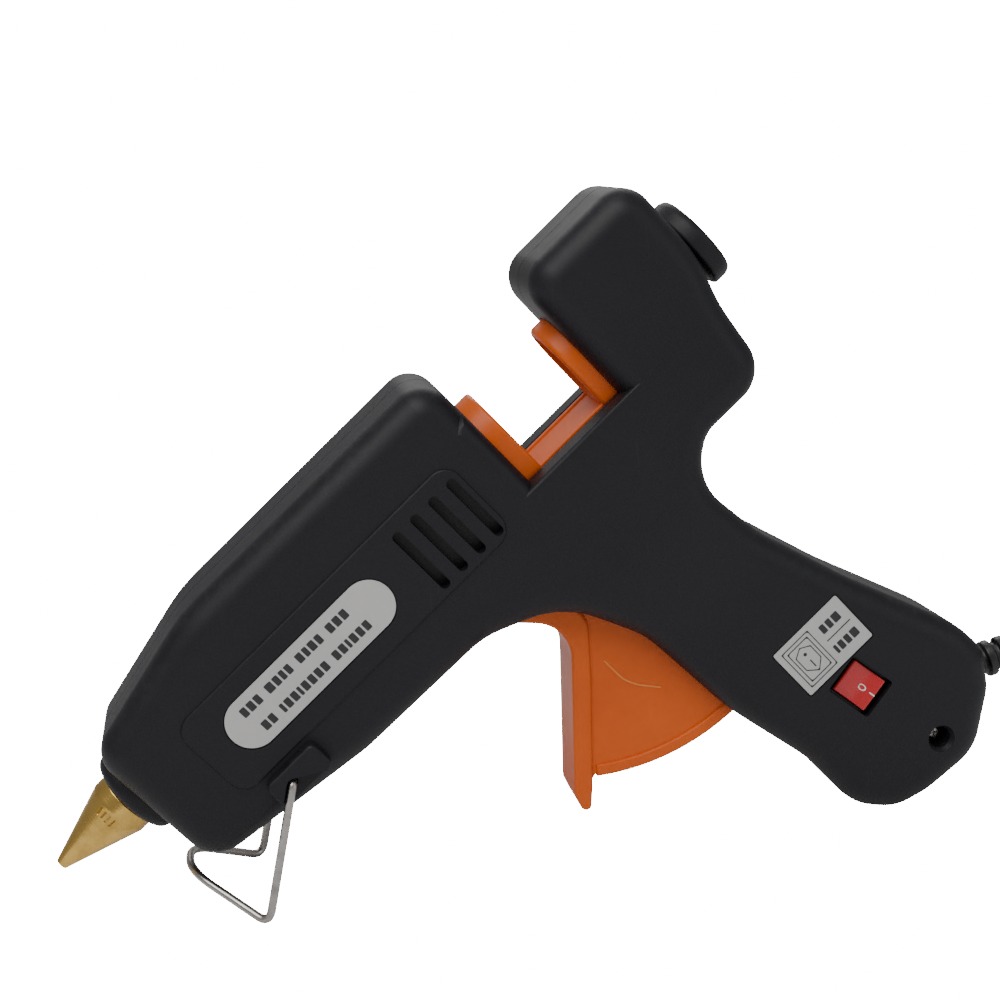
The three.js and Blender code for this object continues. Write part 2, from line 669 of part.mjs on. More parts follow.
piece('trigger_pin', rod(pivot.x, pivot.y, trigger.pinR, -13, 13, 20), 'steel');

// The return spring pulls the carriage back to the rear of the housing.
function springPath() {
  const points = [];
  const count = spring.turns * 8;
  for (let i = 0; i <= count; i += 1) {
    const angle = (2 * Math.PI * i) / 8;
    points.push(new THREE.Vector3(
      THREE.MathUtils.mapLinear(i, 0, count, spring.frontX + spring.wireR, spring.rearX - spring.wireR),
      spring.radius * Math.cos(angle),
      spring.z + spring.radius * Math.sin(angle),
    ));
  }
  return new THREE.CatmullRomCurve3(points);
}
piece('return_spring', swept(springPath(), spring.wireR, 80, 5), 'steel');

// ---- stand --------------------------------------------------------------------------------
piece('stand_wire', wire([
  [stand.pivotX, -stand.inset, stand.pivotZ],
  [stand.pivotX, -stand.legY, stand.pivotZ, 1.4],
  [stand.footX, -stand.legY, stand.footZ],
  [stand.bowX, -stand.bowHalf, stand.bowZ, 6.7],
  [stand.bowX, stand.bowHalf, stand.bowZ, 6.7],
  [stand.footX, stand.legY, stand.footZ],
  [stand.pivotX, stand.legY, stand.pivotZ, 1.4],
  [stand.pivotX, stand.inset, stand.pivotZ],
], stand.wireR, 3.4, 64), 'steel');

// ---- switch and wiring --------------------------------------------------------------------
const switchFace = -gripHalf + wall + gap;
piece('switch_body', rockerFrame(cut(
  box(-5.6, 5.6, switchFace, switchFace + 11, -7, 7),
  box(-rocker.width / 2 - gap, rocker.width / 2 + gap, switchFace - 1, switchFace + 5, -5.9, 5.9),
)), 'blackPlastic');
const rockerPivotY = switchFace + 0.4;
const rockerShape = rounded([
  [-rocker.length / 2, 2.7], [0, 1.9], [rocker.length / 2, 2.7], [rocker.length / 2 - 0.6, -1.6],
  [0, -3], [-rocker.length / 2 + 0.6, -1.6],
].map(([x, y]) => [x, y, 0.3]).reverse());
function rockerSolid() {
  const geometry = new THREE.ExtrudeGeometry(rockerShape, {
    depth: rocker.width, bevelEnabled: false, curveSegments: 2,
  });
  geometry.translate(0, 0, -rocker.width / 2);
  const turn = new THREE.Matrix4().makeBasis(
    new THREE.Vector3(0, 0, 1), new THREE.Vector3(0, -1, 0), new THREE.Vector3(1, 0, 0),
  );
  geometry.applyMatrix4(turn);
  return solid(geometry).rotate([-8, 0, 0]).translate([0, rockerPivotY, 0]);
}
piece('switch_rocker', rockerFrame(rockerSolid()), 'red');
for (const [i, z] of [-3, 3].entries()) {
  piece(`switch_terminal_${i + 1}`, rockerFrame(
    box(-2.4, 2.4, switchFace + 11 + gap, switchFace + 17, z - 0.4, z + 0.4),
  ), 'brass');
}
piece('terminal_block', box(20, 32, 3.6, 11.6, -118.6, -111), 'ceramic');
for (const [i, y] of [9.8, 12].entries()) {
  piece(`heater_lead_${i + 1}`, wire([
    [24 + 4 * i, y - 2.4 - 1.6 * i, -110.6], [24 + 4 * i, y, -104], [27, y, -84], [22, y, -50],
    [12, y, -18.3], [-40, y, -18.3], [-52, y, -16],
  ], 0.9, 5, 26, 6), i ? 'wireBlue' : 'wireBrown');
}

// ---- cord exit ----------------------------------------------------------------------------
function ribbedProfile() {
  const ribs = 7;
  const profile = [[0, -7.6], [relief.radius, -7.6], [relief.radius, 1.6]];
  const pitch = (relief.length - 3) / ribs;
  for (let i = 0; i < ribs; i += 1) {
    const along = 2 + i * pitch;
    const radius = THREE.MathUtils.lerp(relief.radius - 0.3, relief.tipR, i / (ribs - 1));
    profile.push([radius - 0.8, along], [radius - 0.8, along + 1.2]);
    profile.push([radius, along + 1.6], [radius, along + pitch - 0.3]);
  }
  profile.push([cordR + 0.4, relief.length], [0, relief.length]);
  return profile;
}
piece('strain_relief', solid(alongRelief(ribbedProfile(), 16)), 'rubber');
piece('cord_tail', solid(alongRelief([
  [0, -15], [cordR, -15], [cordR, -7.6 - gap], [0, -7.6 - gap],
], 16)), 'rubber');
const clampAt = new THREE.Vector3(relief.x, 0, relief.z).addScaledVector(reliefDirection, -12);
const clampTurn = (body) => body.rotate([0, relief.dip, 0]).translate([clampAt.x, 0, clampAt.z]);
piece('cord_clamp', clampTurn(box(-2, 2, -8.4, 8.4, cordR + gap, cordR + gap + 2)), 'blackPlastic');
for (const [i, y] of [-6.4, 6.4].entries()) {
  piece(`clamp_screw_${i + 1}`, clampTurn(
    rodUp(0, y, 1.7, cordR + 2 * gap + 2, cordR + 2 * gap + 3.4),
  ), 'steel');
}

function rodUp(x, y, radius, z0, z1, sides = 14) {
  const geometry = new THREE.CylinderGeometry(radius, radius, z1 - z0, sides);
  geometry.rotateX(Math.PI / 2);
  geometry.translate(x, y, (z0 + z1) / 2);
  return solid(geometry);
}

// ---- free cord, in the row frame ----------------------------------------------------------
// Out of the strain relief, down to the table, and along it to the hank.
const cordLead = [
  [128.02, 0, 34.98], [133.9, 0, 36.1], [139.8, 0, 37.1], [146.6, 0, 37.6], [153.6, -0.6, 36.7],
  [160, -2, 34.1], [165.6, -4.2, 29.9], [170.4, -7, 24.6], [175.2, -10.2, 19], [180.6, -13.6, 13.2],
  [187, -17, 8.4], [194.4, -20.4, 5], [202.6, -23, 3.3], [210.2, -24.1, 3.1],
];
// Round the near end on top of the hank, and to the plug that lies on it.
const plugLead = [
  [211.6, 0, 22.75], [213, -6.9, 22.75], [216.9, -12.7, 22.75], [222.7, -16.6, 22.75], [229.6, -18, 22.75],
  [238.5, -16.8, 22.9], [246.4, -13.4, 23.6], [252.6, -9.6, 24.9], [257.6, -6.6, 26], [263, -3.9, 26.6],
  [269.2, -3, 26.7],
];

function cordAlong(points, steps) {
  const path = new THREE.CatmullRomCurve3(points.map((point) => new THREE.Vector3(...point)));
  return swept(path, cordR, steps, 8);
}

// Two round ends, and two runs that the tie draws together at the middle.
function hankOutline(radius) {
  const outline = new THREE.Shape();
  const steps = 8;
  const side = (sign) => {
    for (let i = 0; i <= steps; i += 1) {
      const along = THREE.MathUtils.mapLinear(i, 0, steps, -hank.run / 2, hank.run / 2);
      const pull = hank.waist * (0.5 + 0.5 * Math.cos((2 * Math.PI * along) / hank.run));
      const [x, y] = [sign * along, sign * (pull - radius)];
      if (sign > 0 && i === 0) outline.moveTo(x, y);
      else outline.lineTo(x, y);
    }
  };
  side(1);
  outline.absarc(hank.run / 2, 0, radius, -Math.PI / 2, Math.PI / 2, false);
  side(-1);
  outline.absarc(-hank.run / 2, 0, radius, Math.PI / 2, 1.5 * Math.PI, false);
  return outline;
}

function raised(outline, x, y, z0, z1) {
  const geometry = new THREE.ExtrudeGeometry(outline, {
    depth: z1 - z0, bevelEnabled: false, curveSegments: 6,
  });
  geometry.translate(x, y, z0);
  return geometry;
}

const tieInside = hank.outer + cordR - hank.waist + 1.1;
const tieSection = (grow) => rounded(rectangle(
  -tieInside - grow, hank.bottom - gap - grow, tieInside + grow, hank.top + gap + grow, grow,
));
const plugOutline = rounded([
  [0, -6, 2], [9, -9, 6], [20, -plug.half, 5], [plug.length, -plug.half, 1.5], [plug.length, plug.half, 1.5],
  [20, plug.half, 5], [9, 9, 6], [0, 6, 2],
]);

piece('cord_lead', cordAlong(cordLead, 40), 'rubber', freeCord);
piece('cord_hank', raised(
  hankOutline(hank.outer + cordR), hank.x, 0, hank.bottom, hank.top,
), 'rubber', freeCord);
piece('plug_lead', cordAlong(plugLead, 26), 'rubber', freeCord);
piece('cord_tie', cut(
  bar(tieSection(hank.tieThick), hank.x - hank.tieHalf, hank.x + hank.tieHalf),
  bar(tieSection(0), hank.x - hank.tieHalf - 1, hank.x + hank.tieHalf + 1),
), 'blackPlastic', freeCord);
piece('plug_body', raised(
  plugOutline, plug.backX, plug.y, plug.z - plug.thick / 2, plug.z + plug.thick / 2,
), 'rubber', freeCord);
for (const [i, side] of [-1, 1].entries()) {
  const profile = [
    [0, 0], [plug.pinR, 0], [plug.pinR, plug.pinLength - 1.4],
    [plug.pinR - 1, plug.pinLength], [0, plug.pinLength],
  ];
  const pin = turned(profile, 12);
  pin.translate(plug.backX + plug.length + gap, plug.y + (side * plug.pinApart) / 2, plug.z);
  piece(`plug_pin_${i + 1}`, pin, 'steel', freeCord);
}

// ---- labels -------------------------------------------------------------------------------
piece('oval_label', plate(rounded(rectangle(
  ovalLabel.x - ovalLabel.length / 2, ovalLabel.z - ovalLabel.height / 2,
  ovalLabel.x + ovalLabel.length / 2, ovalLabel.z + ovalLabel.height / 2, ovalLabel.height / 2 - 0.01,
)), labelFace, labelFace + ovalLabel.thick), 'label');
piece('rating_label', plate(rounded(rectangle(
  rateLabel.x - rateLabel.length / 2, rateLabel.z - rateLabel.height / 2,
  rateLabel.x + rateLabel.length / 2, rateLabel.z + rateLabel.height / 2, 0.5,
)), -gripHalf, -gripHalf + rateLabel.thick), 'label');

// ---- standing on the table ----------------------------------------------------------------
// The gun tips forward until the stand's feet and the butt are level.
function lowest(mesh, angle) {
  const at = mesh.geometry.attributes.position;
  let low = Infinity;
  for (let i = 0; i < at.count; i += 1) {
    low = Math.min(low, at.getX(i) * Math.sin(angle) + at.getZ(i) * Math.cos(angle));
  }
  return low;
}

function tipAngle() {
  const [feet, shell] = [gun.getObjectByName('stand_wire'), gun.getObjectByName('housing_left')];
  let [flat, steep] = [rad(5), rad(75)];
  for (let i = 0; i < 40; i += 1) {
    const middle = (flat + steep) / 2;
    if (lowest(feet, middle) > lowest(shell, middle)) flat = middle;
    else steep = middle;
  }
  return flat;
}

gun.rotation.y = -tipAngle();
const root = new THREE.Group();
root.add(gun);
root.add(freeCord);
root.updateMatrixWorld(true);
const bounds = new THREE.Box3().setFromObject(gun, true);
gun.position.set(-(bounds.min.x + bounds.max.x) / 2, -(bounds.min.y + bounds.max.y) / 2, -bounds.min.z);
root.updateMatrixWorld(true);

export default root;
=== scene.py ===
import json
import math
import bmesh
import bpy
from mathutils import Matrix, Vector

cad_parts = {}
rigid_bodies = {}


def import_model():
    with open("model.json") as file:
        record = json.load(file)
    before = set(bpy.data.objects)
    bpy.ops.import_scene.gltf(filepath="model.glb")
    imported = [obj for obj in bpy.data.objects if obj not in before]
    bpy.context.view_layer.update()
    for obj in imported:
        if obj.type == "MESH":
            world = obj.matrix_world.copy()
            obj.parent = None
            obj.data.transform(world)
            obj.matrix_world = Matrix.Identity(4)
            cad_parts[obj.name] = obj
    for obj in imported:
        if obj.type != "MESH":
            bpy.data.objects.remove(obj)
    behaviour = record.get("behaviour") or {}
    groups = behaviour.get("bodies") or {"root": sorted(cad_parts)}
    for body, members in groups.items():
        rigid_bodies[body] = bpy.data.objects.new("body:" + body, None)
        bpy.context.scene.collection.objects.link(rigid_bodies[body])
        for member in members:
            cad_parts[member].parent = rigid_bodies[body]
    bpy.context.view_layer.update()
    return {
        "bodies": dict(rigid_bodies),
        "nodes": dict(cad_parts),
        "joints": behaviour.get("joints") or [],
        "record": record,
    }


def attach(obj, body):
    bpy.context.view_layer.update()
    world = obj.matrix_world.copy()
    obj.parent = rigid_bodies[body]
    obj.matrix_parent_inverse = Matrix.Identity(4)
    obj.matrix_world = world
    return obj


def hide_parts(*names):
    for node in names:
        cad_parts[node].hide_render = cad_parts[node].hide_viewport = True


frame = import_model()
nodes = frame["nodes"]
print("frame loaded:", len(nodes), "nodes")

# Pieces are drawn in the gun's own frame in millimetres: x from nozzle to inlet along the stick, z up.
# The gun then tips onto its wire stand.
gunPose = {"tip": 38.248839, "x": -25.407988, "z": 94.104483}
tip = math.radians(gunPose["tip"])
gunToTable = Matrix((
    (math.cos(tip), 0, -math.sin(tip), gunPose["x"] / 1000),
    (0, 1, 0, 0),
    (math.sin(tip), 0, math.cos(tip), gunPose["z"] / 1000),
    (0, 0, 0, 1),
))
mm = 0.001


view = {
    "place": (-0.0776, -0.3968, 0.1703),
    "right": (0.9809, -0.1685, -0.0970),
    "up": (0.1289, 0.1900, 0.9733),
    "lens": 64.2,
    "keyPower": 9.0, "fillPower": 1.6, "rimPower": 4.0,
    "skyStrength": 0.3, "skySeen": 30.0, "floorGlow": 30.0,
    "floorColour": (0.86, 0.86, 0.87, 1),
}


def makeCamera():
    bpy.ops.object.camera_add(location=view["place"])
    camera = bpy.context.object
    right = Vector(view["right"]).normalized()
    up = Vector(view["up"])
    back = right.cross(up).normalized()
    up = back.cross(right)
    turn = Matrix((right, up, back)).transposed()
    camera.rotation_mode = "QUATERNION"
    camera.rotation_quaternion = turn.to_quaternion()
    camera.data.lens = view["lens"]
    camera.data.sensor_width = 36
    camera.data.clip_start = 0.01
    camera.data.clip_end = 100
    bpy.context.scene.camera = camera


def areaLight(name, place, target, size, power, colour=(1, 1, 1)):
    bpy.ops.object.light_add(type="AREA", location=place)
    light = bpy.context.object
    light.name = name
    light.data.shape = "RECTANGLE"
    light.data.size, light.data.size_y = size
    light.data.energy = power
    light.data.color = colour
    way = Vector(target) - Vector(place)
    light.rotation_mode = "QUATERNION"
    light.rotation_quaternion = way.to_track_quat("-Z", "Y")


def makeStage():
    areaLight("keyLight", (-0.35, -0.55, 0.95), (0, 0, 0.07), (0.9, 0.7), view["keyPower"], (1, 0.99, 0.97))
    areaLight("fillLight", (0.9, -0.7, 0.45), (0, 0, 0.06), (0.8, 0.8), view["fillPower"], (0.97, 0.98, 1))
    areaLight("rimLight", (0.15, 0.9, 0.75), (0, 0, 0.08), (1.0, 0.5), view["rimPower"])
    world = bpy.data.worlds.new("softRoom")
    world.use_nodes = True
    sky = world.node_tree.nodes["Background"]
    ray = world.node_tree.nodes.new("ShaderNodeLightPath")
    # the camera sees a bright room, the object a soft one
    seen = world.node_tree.nodes.new("ShaderNodeMapRange")
    seen.inputs["To Min"].default_value = view["skyStrength"]
    seen.inputs["To Max"].default_value = view["skySeen"]
    world.node_tree.links.new(ray.outputs["Is Camera Ray"], seen.inputs["Value"])
    world.node_tree.links.new(seen.outputs["Result"], sky.inputs["Strength"])
    sky.inputs["Color"].default_value = (1, 1, 1, 1)
    bpy.context.scene.world = world
    bpy.ops.mesh.primitive_circle_add(vertices=96, radius=14, fill_type="NGON", location=(0, 0, 0))
    floor = bpy.context.object
    floor.name = "paleFloor"
    paint = bpy.data.materials.new("paleFloor")
    paint.use_nodes = True
    shader = paint.node_tree.nodes["Principled BSDF"]
    shader.inputs["Base Color"].default_value = view["floorColour"]
    shader.inputs["Roughness"].default_value = 0.9
    shader.inputs["Emission Color"].default_value = (1, 1, 1, 1)
    floorRay = paint.node_tree.nodes.new("ShaderNodeLightPath")
    glow = paint.node_tree.nodes.new("ShaderNodeMapRange")
    glow.inputs["To Min"].default_value = 0.0
    glow.inputs["To Max"].default_value = view["floorGlow"]
    paint.node_tree.links.new(floorRay.outputs["Is Camera Ray"], glow.inputs["Value"])
    paint.node_tree.links.new(glow.outputs["Result"], shader.inputs["Emission Strength"])
    shader.inputs["Specular IOR Level"].default_value = 0.1
    floor.data.materials.append(paint)


makeCamera()
makeStage()
print("camera and stage made")


def newGroup(name, inputs, outputs):
    group = bpy.data.node_groups.new(name, "ShaderNodeTree")
    for label, kind, value in inputs:
        socket = group.interface.new_socket(name=label, in_out="INPUT", socket_type=kind)
        if value is not None:
            socket.default_value = value
    for label, kind in outputs:
        group.interface.new_socket(name=label, in_out="OUTPUT", socket_type=kind)
    return group, group.nodes.new("NodeGroupInput"), group.nodes.new("NodeGroupOutput")


def addNode(tree, kind, links=None, **settings):
    node = tree.nodes.new(kind)
    for key, value in settings.items():
        if hasattr(node, key):
            setattr(node, key, value)
        else:
            node.inputs[key.replace("_", " ")].default_value = value
    for socket, source in (links or {}).items():
        tree.links.new(source, node.inputs[socket])
    return node


def ramp(tree, source, low, high, start=(0, 0, 0, 1), end=(1, 1, 1, 1)):
    node = addNode(tree, "ShaderNodeValToRGB", {"Fac": source})
    node.color_ramp.elements[0].position = low
    node.color_ramp.elements[1].position = high
    node.color_ramp.elements[0].color = start
    node.color_ramp.elements[1].color = end
    return node.outputs["Color"]


def moulding():
    # fine spark-eroded grain, slow unevenness of the skin, and fine hairline scratches
    group, inside, out = newGroup("moulding", [
        ("Grain Size", "NodeSocketFloat", 2600.0), ("Scratches", "NodeSocketFloat", 0.4),
    ], [("Height", "NodeSocketFloat"), ("Cloud", "NodeSocketFloat"), ("Scratch", "NodeSocketFloat")])
    place = addNode(group, "ShaderNodeTexCoord").outputs["Object"]
    grain = addNode(group, "ShaderNodeTexNoise", {
        "Vector": place, "Scale": inside.outputs["Grain Size"],
    }, Detail=3.0, Roughness=0.6)
    cloud = addNode(group, "ShaderNodeTexNoise", {"Vector": place}, Scale=38.0, Detail=4.0, Roughness=0.62)
    turned = addNode(group, "ShaderNodeMapping", {"Vector": place})
    turned.inputs["Rotation"].default_value = (0.3, 0.9, 0.4)
    turned.inputs["Scale"].default_value = (900, 22, 40)
    hair = addNode(group, "ShaderNodeTexNoise", {"Vector": turned.outputs[0]}, Scale=1.0, Detail=1.0)
    line = ramp(group, hair.outputs["Fac"], 0.70, 0.73)
    patch = ramp(group, cloud.outputs["Fac"], 0.5, 0.62)
    both = addNode(group, "ShaderNodeMath", {0: line, 1: patch}, operation="MULTIPLY")
    scratch = addNode(group, "ShaderNodeMath", {
        0: both.outputs[0], 1: inside.outputs["Scratches"],
    }, operation="MULTIPLY")
    deep = addNode(group, "ShaderNodeMath", {0: scratch.outputs[0]}, operation="MULTIPLY")
    deep.inputs[1].default_value = -0.6
    height = addNode(group, "ShaderNodeMath", {0: grain.outputs["Fac"], 1: deep.outputs[0]}, operation="ADD")
    group.links.new(height.outputs[0], out.inputs["Height"])
    group.links.new(cloud.outputs["Fac"], out.inputs["Cloud"])
    group.links.new(scratch.outputs[0], out.inputs["Scratch"])
    return group


def dusting():
    # pale dust on faces that look up, broken up by noise
    group, inside, out = newGroup(
        "dusting", [("Amount", "NodeSocketFloat", 0.1)], [("Dust", "NodeSocketFloat")])
    normal = addNode(group, "ShaderNodeNewGeometry").outputs["Normal"]
    place = addNode(group, "ShaderNodeTexCoord").outputs["Object"]
    up = addNode(group, "ShaderNodeSeparateXYZ", {0: normal}).outputs["Z"]
    facing = ramp(group, up, 0.2, 1.0)
    specks = addNode(group, "ShaderNodeTexNoise", {"Vector": place}, Scale=420.0, Detail=5.0, Roughness=0.7)
    broken = ramp(group, specks.outputs["Fac"], 0.45, 0.75)
    both = addNode(group, "ShaderNodeMath", {0: facing, 1: broken}, operation="MULTIPLY")
    scaled = addNode(group, "ShaderNodeMath", {
        0: both.outputs[0], 1: inside.outputs["Amount"],
    }, operation="MULTIPLY")
    group.links.new(scaled.outputs[0], out.inputs["Dust"])
    return group


def ringMarks():
    # fine rings left by turning, round the stick's axis, and tarnish that gathers in patches
    group, inside, out = newGroup("ringMarks", [("Pitch", "NodeSocketFloat", 5200.0)], [
        ("Height", "NodeSocketFloat"), ("Tarnish", "NodeSocketFloat"),
    ])
    place = addNode(group, "ShaderNodeTexCoord").outputs["Object"]
    along = addNode(group, "ShaderNodeMapping", {"Vector": place})
    along.inputs["Rotation"].default_value = (0, tip, 0)
    split = addNode(group, "ShaderNodeSeparateXYZ", {0: along.outputs[0]})
    scaled = addNode(group, "ShaderNodeMath", {
        0: split.outputs["X"], 1: inside.outputs["Pitch"],
    }, operation="MULTIPLY")
    rings = addNode(group, "ShaderNodeMath", {0: scaled.outputs[0]}, operation="SINE")
    cloud = addNode(group, "ShaderNodeTexNoise", {"Vector": place}, Scale=190.0, Detail=6.0, Roughness=0.68)
    stain = ramp(group, cloud.outputs["Fac"], 0.42, 0.68)
    group.links.new(rings.outputs[0], out.inputs["Height"])
    group.links.new(stain, out.inputs["Tarnish"])
    return group


groups = {"moulding": moulding(), "dusting": dusting(), "ringMarks": ringMarks()}


def place(tree, name, **values):
    node = tree.nodes.new("ShaderNodeGroup")
    node.node_tree = groups[name]
    for key, value in values.items():
        node.inputs[key].default_value = value
    return node


def mixColour(tree, factor, first, second):
    node = tree.nodes.new("ShaderNodeMix")
    node.data_type = "RGBA"
    for socket, value in ((0, factor), (6, first), (7, second)):
        if hasattr(value, "links"):
            tree.links.new(value, node.inputs[socket])
        else:
            node.inputs[socket].default_value = value
    return node.outputs[2]


def newMaterial(name, **constants):
    material = bpy.data.materials.new(name)
    material.use_nodes = True
    tree = material.node_tree
    shader = tree.nodes["Principled BSDF"]
    for key, value in constants.items():
        shader.inputs[key].default_value = value
    return material, tree, shader


def rangeOf(tree, source, low, high):
    node = addNode(tree, "ShaderNodeMapRange", {"Value": source})
    node.inputs["To Min"].default_value = low
    node.inputs["To Max"].default_value = high
    return node.outputs["Result"]


def bump(tree, shader, height, strength, distance):
    node = addNode(tree, "ShaderNodeBump", {"Height": height}, Strength=strength, Distance=distance)
    tree.links.new(node.outputs["Normal"], shader.inputs["Normal"])


def plastic(name, look):
    material, tree, shader = newMaterial(name, **{
        "Specular IOR Level": look.get("specular", 0.5), "Coat Weight": look.get("coat", 0.0),
        "Coat Roughness": 0.2,
    })
    skin = place(tree, "moulding", **{"Grain Size": look["grain"], "Scratches": look.get("scratches", 0.3)})
    dust = place(tree, "dusting", Amount=look.get("dust", 0.08))
    shade = mixColour(tree, rangeOf(tree, skin.outputs["Cloud"], -0.4, 1.4), look["dark"], look["light"])
    worn = mixColour(tree, skin.outputs["Scratch"], shade, look["scratchColour"])
    dusty = mixColour(tree, dust.outputs["Dust"], worn, (0.55, 0.54, 0.52, 1))
    tree.links.new(dusty, shader.inputs["Base Color"])
    low, high = look["roughness"]
    tree.links.new(rangeOf(tree, skin.outputs["Cloud"], low, high), shader.inputs["Roughness"])
    bump(tree, shader, skin.outputs["Height"], look["bump"], 0.00012)
    return material


def metal(name, look):
    material, tree, shader = newMaterial(name, Metallic=1.0)
    marks = place(tree, "ringMarks", Pitch=look["pitch"])
    tarnish = rangeOf(tree, marks.outputs["Tarnish"], 0.0, look["tarnish"])
    tree.links.new(mixColour(tree, tarnish, look["clean"], look["stained"]), shader.inputs["Base Color"])
    low, high = look["roughness"]
    tree.links.new(rangeOf(tree, marks.outputs["Tarnish"], low, high), shader.inputs["Roughness"])
    bump(tree, shader, marks.outputs["Height"], look["bump"], 0.00004)
    return material


looks = {
    "housing": {"dark": (0.0046, 0.0044, 0.0072, 1), "light": (0.0078, 0.0074, 0.0115, 1), "grain": 2400.0,
                "roughness": (0.42, 0.6), "bump": 0.22, "scratchColour": (0.03, 0.03, 0.034, 1), "dust": 0.03,
                "specular": 0.36, "scratches": 0.12},
    "trim": {"dark": (0.006, 0.006, 0.007, 1), "light": (0.011, 0.011, 0.012, 1), "grain": 3600.0,
             "roughness": (0.34, 0.5), "bump": 0.1, "scratchColour": (0.03, 0.03, 0.03, 1)},
    "orange": {"dark": (0.62, 0.088, 0.003, 1), "light": (0.74, 0.122, 0.005, 1), "grain": 1900.0,
               "roughness": (0.3, 0.45), "bump": 0.08, "scratchColour": (0.75, 0.2, 0.05, 1), "coat": 0.04,
               "specular": 0.3, "scratches": 0.12, "dust": 0.02},
    # a lighter, glossier copy of the orange plastic: a painted highlight along the thin raised flow lines on
    # the trigger
    "orangePaintedHighlight": {"dark": (0.78, 0.25, 0.04, 1), "light": (0.86, 0.32, 0.06, 1), "grain": 1900.0,
                   "roughness": (0.3, 0.4), "bump": 0.05, "scratchColour": (0.8, 0.4, 0.2, 1), "coat": 0.08},
    "rockerRed": {"dark": (0.45, 0.012, 0.016, 1), "light": (0.55, 0.022, 0.026, 1), "grain": 3000.0,
                  "roughness": (0.2, 0.32), "bump": 0.04, "scratchColour": (0.7, 0.2, 0.2, 1), "coat": 0.3},
    "cordRubber": {"dark": (0.006, 0.006, 0.007, 1), "light": (0.013, 0.013, 0.014, 1), "grain": 1500.0,
                   "roughness": (0.3, 0.48), "bump": 0.12, "scratchColour": (0.05, 0.05, 0.05, 1),
                   "dust": 0.16},
    "foil": {"dark": (0.45, 0.445, 0.44, 1), "light": (0.53, 0.525, 0.52, 1), "grain": 5200.0,
             "roughness": (0.36, 0.5), "bump": 0.06, "scratchColour": (0.36, 0.36, 0.36, 1), "dust": 0.02},
    "print": {"dark": (0.015, 0.015, 0.016, 1), "light": (0.03, 0.03, 0.032, 1), "grain": 5200.0,
              "roughness": (0.5, 0.6), "bump": 0.02, "scratchColour": (0.2, 0.2, 0.2, 1), "dust": 0.0},
    "paleMark": {"dark": (0.72, 0.68, 0.66, 1), "light": (0.8, 0.78, 0.76, 1), "grain": 5200.0,
                 "roughness": (0.4, 0.5), "bump": 0.02, "scratchColour": (0.5, 0.4, 0.4, 1), "dust": 0.0},
    "silicone": {"dark": (0.38, 0.05, 0.03, 1), "light": (0.48, 0.07, 0.045, 1), "grain": 1300.0,
                 "roughness": (0.5, 0.62), "bump": 0.1, "scratchColour": (0.5, 0.2, 0.15, 1), "dust": 0.2},
    "ceramic": {"dark": (0.66, 0.63, 0.57, 1), "light": (0.78, 0.75, 0.7, 1), "grain": 1700.0,
                "roughness": (0.6, 0.75), "bump": 0.3, "scratchColour": (0.5, 0.48, 0.45, 1)},
    "mica": {"dark": (0.36, 0.29, 0.19, 1), "light": (0.5, 0.42, 0.3, 1), "grain": 700.0,
             "roughness": (0.55, 0.7), "bump": 0.4, "scratchColour": (0.3, 0.25, 0.2, 1)},
    "leadBrown": {"dark": (0.13, 0.05, 0.018, 1), "light": (0.18, 0.07, 0.03, 1), "grain": 2600.0,
                  "roughness": (0.4, 0.5), "bump": 0.06, "scratchColour": (0.25, 0.15, 0.1, 1)},
    "leadBlue": {"dark": (0.02, 0.07, 0.26, 1), "light": (0.03, 0.1, 0.34, 1), "grain": 2600.0,
                 "roughness": (0.4, 0.5), "bump": 0.06, "scratchColour": (0.2, 0.3, 0.5, 1)},
}
metals = {
    "brass": {"clean": (0.78, 0.50, 0.13, 1), "stained": (0.36, 0.21, 0.05, 1), "pitch": 9000.0,
              "tarnish": 0.5, "roughness": (0.2, 0.36), "bump": 0.06},
    "steel": {"clean": (0.5, 0.48, 0.455, 1), "stained": (0.27, 0.25, 0.23, 1), "pitch": 4000.0,
              "tarnish": 0.6, "roughness": (0.26, 0.42), "bump": 0.1},
    "castAluminium": {"clean": (0.6, 0.61, 0.62, 1), "stained": (0.38, 0.37, 0.36, 1), "pitch": 2500.0,
                      "tarnish": 0.6, "roughness": (0.4, 0.6), "bump": 0.2},
}
paint = {name: plastic(name, look) for name, look in looks.items()}
paint.update({name: metal(name, look) for name, look in metals.items()})
print("materials made:", len(paint))


def atRest():
    if bpy.context.object and bpy.context.object.mode != "OBJECT":
        bpy.ops.object.mode_set(mode="OBJECT")
    bpy.ops.object.select_all(action="DESELECT")


def hold(obj):
    atRest()
    obj.select_set(True)
    bpy.context.view_layer.objects.active = obj
    return obj


def named(name):
    obj = bpy.context.object
    obj.name = name
    obj.data.name = name
    return obj


def edit(obj):
    hold(obj)
    bpy.ops.object.mode_set(mode="EDIT")
    bpy.ops.mesh.select_all(action="SELECT")


def chooseEdges(obj, wanted):
    # wanted gets the edge's two end points in millimetres
    bpy.ops.mesh.select_all(action="DESELECT")
    bpy.ops.mesh.select_mode(type="EDGE")
    shape = bmesh.from_edit_mesh(obj.data)
    for edge in shape.edges:
        if wanted(*[vert.co * 1000 for vert in edge.verts]):
            edge.select_set(True)
    shape.select_flush_mode()
    bmesh.update_edit_mesh(obj.data)


